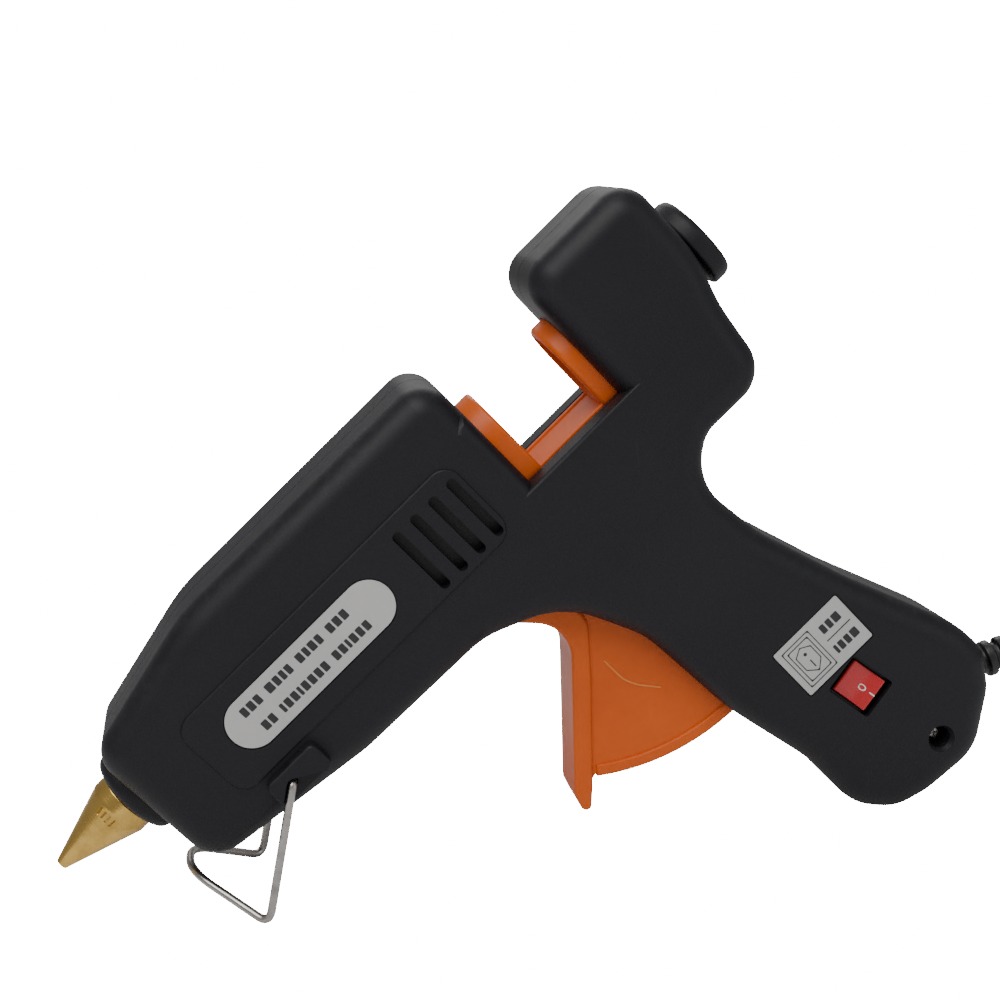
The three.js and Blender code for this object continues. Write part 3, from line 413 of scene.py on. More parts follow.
def roundedPoints(corners, step=8):
    # corners are (x, y, radius), each becoming an arc with a point about every step degrees
    points = []
    count = len(corners)
    for i, corner in enumerate(corners):
        x, y = corner[:2]
        radius = corner[2] if len(corner) > 2 else 0
        here = Vector((x, y))
        back = (Vector(corners[i - 1][:2]) - here).normalized()
        ahead = (Vector(corners[(i + 1) % count][:2]) - here).normalized()
        half = math.acos(max(-1, min(1, back.dot(ahead)))) / 2
        if radius < 0.05 or half > 1.55:
            points.append((x, y))
            continue
        centre = here + (back + ahead).normalized() * radius / math.sin(half)
        run = radius / math.tan(half)
        start = here + back * run - centre
        end = here + ahead * run - centre
        sweep = math.atan2(start.x * end.y - start.y * end.x, start.dot(end))
        parts = max(2, round(abs(math.degrees(sweep)) / step))
        first = math.atan2(start.y, start.x)
        for k in range(parts + 1):
            angle = first + sweep * k / parts
            points.append((centre.x + radius * math.cos(angle), centre.y + radius * math.sin(angle)))
    kept = []
    for point in points:
        if not kept or math.dist(point, kept[-1]) > 0.02:
            kept.append(point)
    if math.dist(kept[0], kept[-1]) < 0.02:
        kept.pop()
    return kept


def insetCorners(corners, distance):
    # every edge of an anticlockwise outline moves inwards
    lines = []
    for i, corner in enumerate(corners):
        x0, y0 = corner[:2]
        x1, y1 = corners[(i + 1) % len(corners)][:2]
        length = math.hypot(x1 - x0, y1 - y0)
        nx, ny = -(y1 - y0) / length, (x1 - x0) / length
        lines.append((nx, ny, nx * x0 + ny * y0 + distance, x1 - x0, y1 - y0))
    moved = []
    for i, corner in enumerate(corners):
        ax, ay, al, adx, ady = lines[i - 1]
        bx, by, bl, bdx, bdy = lines[i]
        across = ax * by - ay * bx
        outside = adx * bdy - ady * bdx > 0
        radius = corner[2] if len(corner) > 2 else 0
        moved.append((
            (al * by - bl * ay) / across, (bl * ax - al * bx) / across,
            max(radius - distance, 0.6) if outside else radius + distance,
        ))
    return moved


def rect(x0, y0, x1, y1, radius=0.0):
    return [(x0, y0, radius), (x1, y0, radius), (x1, y1, radius), (x0, y1, radius)]


def roundRims(obj, axis, low, high, size, steps):
    # rounds the two rims of a slab, which lie at low and high along the axis
    edit(obj)
    chooseEdges(obj, lambda a, b: abs(a[axis] - b[axis]) < 1e-3 and (
        abs(a[axis] - low) < 1e-3 or abs(a[axis] - high) < 1e-3))
    bpy.ops.mesh.bevel(offset=size * mm, segments=steps, profile=0.5, affect="EDGES", clamp_overlap=False)
    bpy.ops.object.mode_set(mode="OBJECT")


def slab(name, corners, y0, y1, rim=0.0, steps=4, arc=8):
    # a side outline in x and z, pulled out from y0 to y1
    points = roundedPoints(corners, arc)
    atRest()
    bpy.ops.mesh.primitive_circle_add(vertices=len(points), fill_type="NGON")
    obj = named(name)
    for vert, (x, z) in zip(obj.data.vertices, points):
        vert.co = (x * mm, y0 * mm, z * mm)
    edit(obj)
    bpy.ops.mesh.extrude_region_move(TRANSFORM_OT_translate={"value": (0, (y1 - y0) * mm, 0)})
    bpy.ops.mesh.select_all(action="SELECT")
    bpy.ops.mesh.normals_make_consistent(inside=False)
    bpy.ops.object.mode_set(mode="OBJECT")
    if rim:
        roundRims(obj, 1, y0, y1, rim, steps)
    return obj


def beam(name, corners, x0, x1, rim=0.0, steps=3, arc=8):
    # a cross section in y and z, pulled out from x0 to x1
    points = roundedPoints(corners, arc)
    atRest()
    bpy.ops.mesh.primitive_circle_add(vertices=len(points), fill_type="NGON")
    obj = named(name)
    for vert, (y, z) in zip(obj.data.vertices, points):
        vert.co = (x0 * mm, y * mm, z * mm)
    edit(obj)
    bpy.ops.mesh.extrude_region_move(TRANSFORM_OT_translate={"value": ((x1 - x0) * mm, 0, 0)})
    bpy.ops.mesh.select_all(action="SELECT")
    bpy.ops.mesh.normals_make_consistent(inside=False)
    bpy.ops.object.mode_set(mode="OBJECT")
    if rim:
        roundRims(obj, 0, x0, x1, rim, steps)
    return obj


def lathe(name, profile, steps=64, at=None):
    # a closed profile of (radius, x) spun round the x axis, then laid along at = (start, direction)
    atRest()
    bpy.ops.mesh.primitive_circle_add(vertices=len(profile), fill_type="NOTHING")
    obj = named(name)
    for vert, (radius, x) in zip(obj.data.vertices, profile):
        vert.co = (x * mm, 0, radius * mm)
    edit(obj)
    bpy.ops.mesh.spin(steps=steps, angle=2 * math.pi, center=(0, 0, 0), axis=(1, 0, 0))
    bpy.ops.mesh.select_all(action="SELECT")
    bpy.ops.mesh.remove_doubles(threshold=0.000004)
    bpy.ops.mesh.normals_make_consistent(inside=False)
    bpy.ops.object.mode_set(mode="OBJECT")
    if at:
        start, way = at
        turn = Vector(way).to_track_quat("X", "Z").to_matrix().to_4x4()
        obj.data.transform(Matrix.Translation(Vector(start) * mm) @ turn)
    return obj


def soften(profile, size, parts=3):
    # rounds the sharp corners of a lathe profile that aren't on its axis
    corners = [(r, x, 0 if r < 0.01 else size) for r, x in profile]
    rounded = []
    for i, (r, x, radius) in enumerate(corners):
        before, after = corners[i - 1], corners[(i + 1) % len(corners)]
        here = Vector((r, x))
        back, ahead = Vector(before[:2]) - here, Vector(after[:2]) - here
        reach = min(radius, back.length * 0.45, ahead.length * 0.45)
        if reach < 0.01:
            rounded.append((r, x))
            continue
        first, last = here + back.normalized() * reach, here + ahead.normalized() * reach
        for k in range(parts + 1):
            t = k / parts
            spot = first * (1 - t) ** 2 + here * 2 * t * (1 - t) + last * t ** 2
            rounded.append((spot.x, spot.y))
    return rounded


def pin(name, x, z, radius, y0, y1, sides=32):
    return lathe(name, [(0, y0), (radius, y0), (radius, y1), (0, y1)], sides, ((x, 0, z), (0, 1, 0)))


def carve(obj, *tools, how="DIFFERENCE"):
    for tool in tools:
        hold(obj)
        change = obj.modifiers.new("carve", "BOOLEAN")
        change.operation = how
        change.object = tool
        change.solver = "MANIFOLD"
        bpy.ops.object.modifier_apply(modifier=change.name)
        bpy.data.objects.remove(tool)
    return obj


def weld(obj, *tools):
    return carve(obj, *tools, how="UNION")


def twin(obj, name):
    copy = obj.copy()
    copy.data = obj.data.copy()
    copy.name = name
    copy.data.name = name
    bpy.context.collection.objects.link(copy)
    return copy


def clean(obj, angle=35):
    edit(obj)
    bpy.ops.mesh.remove_doubles(threshold=0.000003)
    bpy.ops.mesh.dissolve_degenerate(threshold=0.000002)
    bpy.ops.object.mode_set(mode="OBJECT")
    hold(obj)
    bpy.ops.object.shade_smooth_by_angle(angle=math.radians(angle))
    weigh = obj.modifiers.new("weigh", "WEIGHTED_NORMAL")
    weigh.keep_sharp = True
    weigh.weight = 60
    bpy.ops.object.modifier_apply(modifier=weigh.name)


def finished(obj, body, finish, replaced=(), inGun=True, angle=35):
    clean(obj, angle)
    if inGun:
        obj.data.transform(gunToTable)
    obj.data.materials.clear()
    obj.data.materials.append(paint[finish])
    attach(obj, body)
    if replaced:
        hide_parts(*replaced)
    return obj


cordLook = {"radius": 3.0, "bottomTurn": 4.1, "turnRise": 6.05, "outer": 24.2, "inner": 18.0, "waist": 4.0,
            "hankX": 261.6, "hankRun": 64.0}
cordLead = [
    (128.02, 0, 34.98), (133.9, 0, 36.1), (139.8, 0, 37.1), (146.6, 0, 37.6), (153.6, -0.6, 36.7),
    (160, -2, 34.1), (165.6, -4.2, 29.9), (170.4, -7, 24.6), (175.2, -10.2, 19), (180.6, -13.6, 13.2),
    (187, -17, 8.4), (194.4, -20.4, 5), (202.6, -23, 3.3), (210.2, -24.1, 3.1), (220.2, -24.2, 3.6),
]
plugLead = [
    (238.5, -16.8, 22.9), (246.4, -13.4, 23.6), (252.6, -9.6, 24.9), (257.6, -6.6, 26), (263, -3.9, 26.6),
    (269.2, -3, 26.7),
]


def ease(t):
    t = max(0.0, min(1.0, t))
    return t * t * (3 - 2 * t)


def hankTurn(turn):
    # one turn: out along the near side, round the far end, back, and round the near end
    level = cordLook["bottomTurn"]
    rise = cordLook["turnRise"]
    wide, tight = cordLook["outer"], cordLook["inner"]
    half = cordLook["hankRun"] / 2
    points = []

    def radiusAt(stage, t):
        if turn == 0:
            return wide - (wide - tight) * (ease(2 * t - 1) if stage == 3 else 0)
        if turn == 2:
            return tight + (wide - tight) * ({2: ease(t), 3: 1}.get(stage, 0))
        if turn == 3:
            return wide - (wide - tight) * (ease(2 * t - 1) if stage == 3 else 0)
        return tight

    def heightAt(stage, t):
        if turn == 0:
            return level
        if turn == 1:
            return level + rise * (ease(2 * t) if stage == 3 else 0)
        if turn == 2:
            return level + rise
        if turn == 3:
            return level + rise + rise * (ease(2 * t - 1) if stage == 1 else (stage > 1))
        return level + 2 * rise + (22.75 - level - 2 * rise) * (ease(2 * t) if stage == 3 else 0)

    for stage, parts in ((0, 7), (1, 10), (2, 7), (3, 10)):
        for k in range(parts):
            t = k / parts
            radius = radiusAt(stage, t)
            if stage in (0, 2):
                along = -half + 2 * half * t
                pull = cordLook["waist"] * (0.5 + 0.5 * math.cos(math.pi * along / half))
                side = -1 if stage == 0 else 1
                x, y = -side * along, side * (radius - pull)
            else:
                angle = math.pi * t
                side = 1 if stage == 1 else -1
                x, y = side * (half + radius * math.sin(angle)), -side * radius * math.cos(angle)
            points.append((cordLook["hankX"] + x, y, heightAt(stage, t)))
    return points


def makeCord():
    route = list(cordLead)
    for turn in range(5):
        route += hankTurn(turn)
    route += [(229.6, -18, 22.75)] + plugLead
    atRest()
    bpy.ops.curve.primitive_nurbs_path_add()
    curve = named("mains_cord")
    curve.data.splines.clear()
    curve.data.dimensions = "3D"
    spline = curve.data.splines.new("BEZIER")
    spline.bezier_points.add(len(route) - 1)
    for knot, spot in zip(spline.bezier_points, route):
        knot.co = Vector(spot) * mm
        knot.handle_left_type = knot.handle_right_type = "AUTO"
    spline.resolution_u = 6
    curve.data.resolution_u = 6
    curve.data.bevel_depth = cordLook["radius"] * mm
    curve.data.bevel_resolution = 5
    curve.data.use_fill_caps = True
    curve.data.materials.append(paint["cordRubber"])
    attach(curve, "housing")
    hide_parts("cord_lead", "cord_hank", "plug_lead")
    length = sum(math.dist(a, b) for a, b in zip(route, route[1:])) / 1000
    print("cord length along its points:", round(length, 4))
    return curve, route[0]


mainsCord, cordExit = makeCord()


def makeTie():
    inside = cordLook["outer"] + cordLook["radius"] - cordLook["waist"] + 1.1
    outer = beam("cord_tie_band", rect(-inside - 0.8, 0, inside + 0.8, 20.5, 0.8), 256.6, 266.6, 0.3, 2)
    inner = beam("tieHole", rect(-inside, 0.8, inside, 19.7), 250, 273)
    return finished(carve(outer, inner), "housing", "trim", ["cord_tie"], inGun=False)


def makePlug():
    outline = [(270, -9, 2), (279, -12, 6), (290, -20.4, 5), (306, -20.4, 1.5), (306, 14.4, 1.5),
               (290, 14.4, 5), (279, 6, 6), (270, 3, 2)]
    # drawn flat, then turned from its side onto its face
    body = slab("plug_shell", [(x, y + 3, r) for x, y, r in outline], -7, 7, 2.0, 4)
    for y in (-5.2, 5.2):
        for i in range(4):
            corners = rect(282.4 + 2.6 * i, -9, 283.6 + 2.6 * i, 9, 0.4)
            groove = slab("groove", corners, *sorted((y * 1.25, y * 1.8)))
            carve(body, groove)
    flat = Matrix.Translation((0, -3 * mm, 26.7 * mm)) @ Matrix.Rotation(-math.pi / 2, 4, "X")
    body.data.transform(flat)
    plug = finished(body, "housing", "cordRubber", ["plug_body"], inGun=False)
    pins = []
    for i, side in enumerate((-1, 1)):
        y = -3 + side * 9.3
        metalPin = lathe(f"plug_contact_{i + 1}", soften([
            (0, 306.2), (2, 306.2), (2, 324.2), (1.2, 325.3), (0, 325.3),
        ], 0.5), 32, ((0, y, 26.7), (1, 0, 0)))
        pins.append(finished(metalPin, "housing", "steel", [f"plug_pin_{i + 1}"], inGun=False))
    return [plug, *pins]


tie = makeTie()
plugPieces = makePlug()
print("cord and plug made")


housingLook = {"half": 18.5, "gripHalf": 16.0, "wall": 2.6, "rim": 6.6, "shoulder": -38.0, "narrow": -66.0,
               "sill": -10.3}
sideOutline = [
    (-103, -21.8, 9), (-60, -27.8, 30), (-24, -28.6, 20), (-6.4, -36.2, 22), (2, -56, 24), (3.8, -84, 60),
    (8.8, -107, 24), (8.8, -124, 14), (15.4, -132.2, 12), (24, -134.8, 16), (39, -136.1, 13),
    (51.6, -126.6, 9),
    (56.8, -118.8, 7), (56.6, -110, 30), (44.8, -80.4, 40), (37.2, -57, 26), (34.8, -38, 13), (44, -31.2, 8),
    (63.4, -31.4, 9), (65.8, -12, 34), (69.6, 0, 40), (69.6, 24, 7.2), (36, 24, 7.6), (36, -12.8, 1.4),
    (8, -12.8, 1.4), (8, 24, 7), (-67, 24, 40), (-103, 15.4, 7),
]
screwPosts = [
    (-93, -16.5, 1), (-24, -23.1, 1), (-2, 17.2, 1), (57.6, 16.8, 1), (29, -42, 1), (34.6, -125.5, -1),
]
reliefAt = ((53.5, 0, -125.5), (math.cos(math.radians(27.5)), 0, -math.sin(math.radians(27.5))))
reliefLift = Matrix.Translation(Vector(reliefAt[0]) * mm)


switchAt = Matrix.Translation((29.4 * mm, 0, -101.4 * mm)) @ Matrix.Rotation(math.radians(-10), 4, "Y")
rockerAt = Matrix.Translation((0, -12.7 * mm, 0)) @ Matrix.Rotation(math.radians(-8), 4, "X")


def narrowGrip(obj):
    top, low = housingLook["shoulder"], housingLook["narrow"]
    for i in range(8):
        edit(obj)
        level = top + (low - top) * i / 7
        bpy.ops.mesh.bisect(plane_co=(0, 0, level * mm), plane_no=(0, 0, 1), use_fill=False)
        bpy.ops.object.mode_set(mode="OBJECT")
    share = housingLook["gripHalf"] / housingLook["half"]
    for vert in obj.data.vertices:
        vert.co.y *= 1 + (share - 1) * ease((top - vert.co.z / mm) / (top - low))
    return obj


def saddle(grow):
    side, foot = 11.2 + grow, -12.3 - grow
    arch = [(side * math.cos(math.pi * i / 24), side * math.sin(math.pi * i / 24), 0) for i in range(25)]
    return arch + [(-side, foot, 3), (side, foot, 3)]


def legSweep():
    way = Vector((-27, -19.2)).normalized()
    points = []
    for i in range(9):
        turn = math.radians(112 * i / 8)
        x = way.x * math.cos(turn) - way.y * math.sin(turn)
        z = way.x * math.sin(turn) + way.y * math.cos(turn)
        side = 1.4 if i == 8 else (-1.4 if i == 0 else 0)
        points.append((-76 + 26 * x - side * z, -19.2 + 26 * z + side * x))
        if i == 0:
            first = (-76 + 1.4 * z, -19.2 - 1.4 * x)
    return [first, *points, (-76 - 1.4 * z, -19.2 + 1.4 * x)]


def makeHousing():
    half, wall = housingLook["half"], housingLook["wall"]
    shell = narrowGrip(slab("housingWhole", sideOutline, -half, half, housingLook["rim"], 8, 6))
    hollow = narrowGrip(slab("hollow", insetCorners(sideOutline, wall), wall - half, half - wall, 0))
    for side in (-1, 1):
        reach = sorted((side * (half - 1), side * (half + 0.6)))
        weld(shell, slab("pad", rect(-85.7, -14.2, -1.9, 7.9, 4.4), *reach, 0.55, 3))
        bossReach = sorted((side * (half - 1), side * 21.4))
        boss = slab("boss", rect(-81, -22.6, -66.4, -15.4, 1.6), *bossReach, 0.7, 3)
        weld(shell, boss)
    # the window's sills stand a little above its floor and keep firm edges
    weld(shell, slab("sill", rect(-4, -24, 48, housingLook["sill"]), -half + 0.02, half - 0.02, 1.3, 5))
    weld(shell, slab("frontEdge", rect(-6, -24, 8, 12), -half + 0.02, half - 0.02, 4.2, 6))
    carve(shell, slab("windowRoom", rect(8.02, housingLook["sill"] + 0.02, 35.98, 30), -30, 30))
    carve(shell, hollow)
    for x, z, headSide in screwPosts:
        width = (housingLook["gripHalf"] if z < -66 else half) - 1
        weld(shell, pin("post", x, z, 3.6, -width, width, 24))
        carve(shell, lathe("recess", [
            (0, 9), (2.6, 9), (2.6, width - 0.2), (3.3, width + 0.9), (3.3, width + 8), (0, width + 8),
        ], 40, ((x, 0, z), (0, headSide, 0))))
        carve(shell, pin("shankHole", x, z, 1.7, -10, 10, 24))
    carve(
        shell,
        lathe("noseBore", [(0, -108), (10.3, -108), (10.3, -91), (0, -91)], 64),
        lathe("rearBore", [(0, 55.6), (9.3, 55.6), (9.3, 76), (0, 76)], 64),
        beam("saddleRoom", saddle(0.4), 0, 44),
        slab("forkSlot", rect(-8, -17.4, 42, -11.8), -7.6, 7.6),
        slab("triggerMouth", [
            (-20, -26), (-30, -60), (-26, -87.2), (8.6, -87.2), (10, -60), (8, -47), (0, -33), (-4, -26),
        ], -8.4, 8.4),
        pin("triggerBore", 6, -30, 2.1, -13.3, 13.3, 32),
        pin("standBore", -76, -19.2, 1.3, -30, 30, 32),
    )
    for i in range(4):
        x = -21 + 5.5 * i
        for side in (-1, 1):
            reach = sorted((side * (half - wall - 2), side * (half + 4)))
            carve(shell, slab("vent", rect(x - 1.2, -12.7, x + 1.2, 4.5, 1.15), *reach))
    for side in (-1, 1):
        carve(shell, slab("legRoom", legSweep(), *sorted((side * (half + 0.4), side * (half + 6)))))
    exitHole = lathe("exitHole", [(0, -9), (4.9, -9), (4.9, 12), (0, 12)], 48, reliefAt)
    face = -half - 0.6
    carve(
        shell, exitHole,
        slab("ovalSeat", rect(-78.55, -9.5, -30.05, 3.3, 6.35), face - 3, face + 0.55, arc=5),
        slab("rateSeat", rect(19.2, -94.2, 40, -79.8, 0.8), -19, -15.3),
    )
    window = slab("rockerHole", rect(-5.1, -5.8, 5.1, 6.4, 0.7), -20, -12.4)
    window.data.transform(switchAt)
    carve(shell, window)
    shell.data.materials.clear()
    other = twin(shell, "housing_shell_right")
    shell.name = shell.data.name = "housing_shell_left"
    keepLeft = slab("keepLeft", rect(-200, -200, 200, 200), -60, -0.15)
    keepRight = slab("keepRight", rect(-200, -200, 200, 200), 0.15, 60)
    carve(shell, keepLeft, how="INTERSECT")
    carve(other, keepRight, how="INTERSECT")
    finished(shell, "housing", "housing", ["housing_left"], angle=32)
    finished(other, "housing", "housing", ["housing_right"], angle=32)


def makeVentShadeSheets():
    # dark sheets behind the vents are painted shade: they stand in for the shade inside the housing and keep
    # the heater out of sight
    for side, label in ((-1, "near"), (1, "far")):
        reach = sorted((side * 13.6, side * 14.3))
        sheet = slab(f"vent_shade_sheet_{label}", rect(-27, -16, 3, 7.6, 1), *reach, 0.1, 2)
        finished(sheet, "housing", "trim")


makeHousing()
makeVentShadeSheets()
print("housing made")


def makeTurnedParts():
    nose = -107.7
    ring = lathe("nose_collar", soften([
        (6.9, nose), (8.8, nose), (10.4, nose + 0.8), (11, nose + 2.2), (11, -103.3), (9.98, -103.3),
        (9.98, -101), (6.9, -101),
    ], 0.8), 96)
    finished(ring, "housing", "housing", ["nose_ring"])
    tip = lathe("nozzle_cone", soften([
        (0.9, -130), (1.4, -130), (6.9, -112.9), (7.4, -111.4), (7.4, -108), (5.6, -108),
        (5.6, -101.3), (1.7, -101.3), (1.7, -112.8),
    ], 0.35), 96)
    for i in range(4):  # short milled marks beside the base
        mark = slab("mark", rect(-0.28, -1.1, 0.28, 1.1, 0.2), -9, -6.1)
        turn = Matrix.Rotation(math.radians(-34 + 11 * i), 4, "X")
        mark.data.transform(turn @ Matrix.Translation((-113.2 * mm, 0, 0))
                            @ Matrix.Rotation(math.radians(90), 4, "Y"))
        carve(tip, mark)
    finished(tip, "housing", "brass", ["nozzle"])
    inlet = lathe("inlet_rim", soften([
        (6.4, 62.4), (8.98, 62.4), (8.98, 69.9), (11, 69.9), (11, 73.4), (10.2, 74.7), (9, 74.7), (6.4, 71),
    ], 0.9), 96)
    finished(inlet, "housing", "housing", ["inlet_collar"])


def makeRelief():
    # a socket at the housing, then ribs that get smaller towards the cord
    profile = [(0, -7.6), (4.6, -7.6), (4.6, 1.6)]
    for i in range(8):
        along = 2.2 + i * 3.8
        radius = 4.5 - 0.9 * i / 7
        profile += [
            (radius - 1.0, along), (radius - 1.0, along + 1.2), (radius, along + 1.5), (radius, along + 3.4),
        ]
    profile += [(3.3, 34.35), (0, 34.35)]
    relief = lathe("cord_relief", soften(profile, 0.35), 64, reliefAt)
    for i in range(8):  # openings between the ribs, alternating sides
        for side in (0, 180):
            notch = beam("notch", rect(2.6, -1.3, 6, 1.3, 0.3), 3.3 + i * 3.8 - 0.4, 3.3 + i * 3.8 + 0.5)
            way = Vector(reliefAt[1]).to_track_quat("X", "Z").to_matrix().to_4x4()
            spin = Matrix.Rotation(math.radians(side + 90 * (i % 2)), 4, "X")
            notch.data.transform(reliefLift @ way @ spin)
            carve(relief, notch)
    finished(relief, "housing", "cordRubber", ["strain_relief"])


makeTurnedParts()
makeRelief()
print("nose, nozzle, inlet and relief made")


carriageLook = {"front": -7.6, "ringEnd": 12.3, "cupFront": 31.8, "cupEnd": 54.0, "bore": 9.2, "rim": 0.9}


def makeCarriage():
    look = carriageLook
    ring = beam("feed_slider", saddle(0), look["front"], look["ringEnd"], look["rim"], 4)
    bore = look["bore"]
    carve(ring, lathe("ringBore", soften([
        (0, -12), (bore + 1.1, -12), (bore + 1.1, look["front"]), (bore, look["front"] + 1.2),
        (bore, look["ringEnd"] - 1.2), (bore + 1.1, look["ringEnd"]), (bore + 1.1, 16), (0, 16),
    ], 0.5), 96))
    cup = beam("cup", saddle(0), look["cupFront"], look["cupEnd"], 1.3, 5)
    carve(cup, lathe("cupBore", soften([
        (0, 28), (bore + 0.9, 28), (bore + 0.9, look["cupFront"]), (bore, look["cupFront"] + 1.4), (bore, 50),
        (6.4, 50.4), (6.4, 60), (0, 60),
    ], 0.5), 96))
    weld(ring, cup, beam("strip", rect(-10, -12.3, 10, -10.6, 0.7), 11.5, 32.6))
    for side in (-1, 1):  # low rails along the strip
        low, high = sorted((side * 8.4, side * 9.8))
        weld(ring, beam("rail", rect(low, -10.9, high, -10.1, 0.3), 11.5, 32.6))
    for x, half, foot in ((5.08, 4, -18.9), (12.58, 4, -18.9), (38.1, 2.8, -23.4)):
        weld(ring, slab("lug", rect(x, foot, x + 2, -11.4, 0.4), -half, half))
    carve(ring, pin("pinBore", 43.6, 7, 1.12, -12, 12, 24))
    finished(ring, "carriage", "orange", ["feed_carriage"])


makeCarriage()
print("carriage made")


triggerLook = {"x": 6.0, "z": -30.0, "radius": 56.8, "half": 6.8, "strip": 7.8, "wall": 2.0}


def onArc(radius, angle):
    turn = math.radians(angle)
    return triggerLook["x"] - radius * math.sin(turn), triggerLook["z"] - radius * math.cos(turn)


def arcPoints(radius, start=38.6, end=-2.0, count=22):
    return [onArc(radius, start + (end - start) * i / count) for i in range(count + 1)]


def threadAlong(name, points, radius, sides=3):
    # a round thread along points, made from a curve and turned into a mesh
    atRest()
    bpy.ops.curve.primitive_nurbs_path_add()
    curve = named(name)
    curve.data.splines.clear()
    curve.data.dimensions = "3D"
    spline = curve.data.splines.new("POLY")
    spline.points.add(len(points) - 1)
    for knot, spot in zip(spline.points, points):
        knot.co = (*(Vector(spot) * mm), 1)
    curve.data.bevel_depth = radius * mm
    curve.data.bevel_resolution = sides
    curve.data.use_fill_caps = True
    hold(curve)
    bpy.ops.object.convert(target="MESH")
    return bpy.context.object


def smoothLine(corners, bend, parts=10):
    # corners (x, y, z, own bend) joined by straight runs and soft bends
    spots = [Vector(corner[:3]) for corner in corners]
    line = [spots[0]]
    for i in range(1, len(spots) - 1):
        reach = corners[i][3] if len(corners[i]) > 3 else bend
        before, after = spots[i - 1] - spots[i], spots[i + 1] - spots[i]
        reach = min(reach, before.length * 0.45, after.length * 0.45)
        first, last = spots[i] + before.normalized() * reach, spots[i] + after.normalized() * reach
        for k in range(parts + 1):
            t = k / parts
            line.append(first * (1 - t) ** 2 + spots[i] * 2 * t * (1 - t) + last * t ** 2)
    line.append(spots[-1])
    return line


def makeTrigger():
    look = triggerLook
    half, stripHalf, radius = look["half"], look["strip"], look["radius"]
    web = slab("trigger_lever", [
        (-12, -34.4), (-6, -44), (-16, -56.6), (-31.6, -74.4), *arcPoints(radius - 1),
        (look["x"] + 3, look["z"] - 4),
        (look["x"] - 2, look["z"] + 2),
    ], -half, half)
    strip = slab("fingerStrip", [
        (-17.2, -33.2, 0), (-8.4, -43, 9), (-36.3, -73.8, 2), (-37.6, -78, 1.5), (-36, -79.4, 1.2),
        (-32, -75.6, 1.2), (-13.6, -55.6, 0), (-5.2, -45.6, 6), (-4.2, -40.4, 6), (-12.4, -33.2, 0),
    ], -stripHalf, stripHalf, 0.9, 5)
    bandCorners = [*arcPoints(radius), *reversed(arcPoints(radius - 2.9))]
    band = slab("rimBand", bandCorners, -half - 0.75, half + 0.75, 0.6, 3)
    hollow = slab("leverHollow", [
        (-3, -44), (-9.6, -55.6), *arcPoints(radius - look["wall"]), (look["x"] + 6, look["z"] - radius + 2),
        (look["x"] + 6, look["z"] - 8), (look["x"] - 2, look["z"] - 8),
    ], look["wall"] - half, half - look["wall"])
    headX, headZ = 9.83, -15.7
    arm = slab("arm", [
        (4.4, -30.4), (7.6, -29.6), (headX + 1.5, headZ - 0.4), (headX - 1.5, headZ + 0.4),
    ], -2.4, 2.4)
    weld(web, strip, band, pin("hub", look["x"], look["z"], 5, -half, half, 48), arm,
         pin("armHead", headX, headZ, 2.5, -2.4, 2.4, 32))
    carve(web, hollow, pin("pivotBore", look["x"], look["z"], 2.15, -20, 20, 40))
    finished(web, "trigger", "orange", ["trigger"], angle=30)
    for side, label in ((-1, "near"), (1, "far")):  # a raised flow line on each cheek
        face = side * (half + 0.02)
        line = smoothLine([
            (-8.9, face, -55.1), (-8.9, face, -61.6), (-7.6, face, -65.0), (-4, face, -69.8),
        ], 4)
        # the flow lines are raised in the geometry; their lighter orange is a painted highlight
        finished(threadAlong(f"flow_line_{label}", line, 0.2), "trigger", "orangePaintedHighlight")
    axle = pin("trigger_axle", look["x"], look["z"], 2, -13, 13, 48)
    finished(axle, "housing", "steel", ["trigger_pin"])


makeTrigger()
print("trigger made")


def makeStand():
    line = smoothLine([
        (-76, -13.9, -19.2), (-76, -20.3, -19.2, 1.4), (-103, -20.3, -38.7, 3.4),
        (-109.4, -7.5, -20.6, 6.7), (-109.4, 7.5, -20.6, 6.7),
        (-103, 20.3, -38.7, 3.4), (-76, 20.3, -19.2, 1.4), (-76, 13.9, -19.2),
    ], 3.4, 14)
    finished(threadAlong("wire_stand", line, 1.0, 5), "stand", "steel", ["stand_wire"], angle=50)


def inSwitch(obj):
    obj.data.transform(switchAt)
    return obj


def makeSwitch():
    case = slab("switch_case", rect(-5.6, -7, 5.6, 7, 0.6), -13.1, -2.1, 0.2, 2)
    carve(case, slab("well", rect(-4.6, -5.9, 4.6, 5.9, 0.4), -15, -8.1))
    finished(inSwitch(case), "housing", "trim", ["switch_body"])
    key = beam("rocker_key", [
        (2.7, -4.7, 0.5), (1.8, 0, 8), (2.7, 4.7, 0.5), (-1.6, 4.1, 0.4), (-3, 0, 1), (-1.6, -4.1, 0.4),
    ], -4.3, 4.3, 0.3, 3)
    key.data.transform(rockerAt @ Matrix.Scale(-1, 4, (0, 1, 0)))
    finished(inSwitch(key), "rocker", "rockerRed", ["switch_rocker"])
    zero = lathe("mark_off", [(0.62, -0.06), (0.92, -0.06), (0.92, 0.06), (0.62, 0.06)], 40)
    zero.data.transform(Matrix.Rotation(math.radians(90), 4, "Z"))
    zero.data.transform(Matrix.Diagonal((0.8, 1, 1.15, 1)))
    bar = slab("mark_on", rect(-0.16, -0.75, 0.16, 0.75, 0.12), -0.06, 0.06)
    for mark, z, out in ((bar, -3.7, 2.54), (zero, -0.9, 2.06)):
        # the marks lie on the lower half of the key, one above the other
        tilt = Matrix.Rotation(math.radians(-11), 4, "X")
        mark.data.transform(tilt)
        mark.data.transform(Matrix.Translation((0, -out * mm, z * mm)))
        mark.data.transform(rockerAt)
        finished(inSwitch(mark), "rocker", "paleMark")


makeStand()
makeSwitch()
print("stand and switch made")


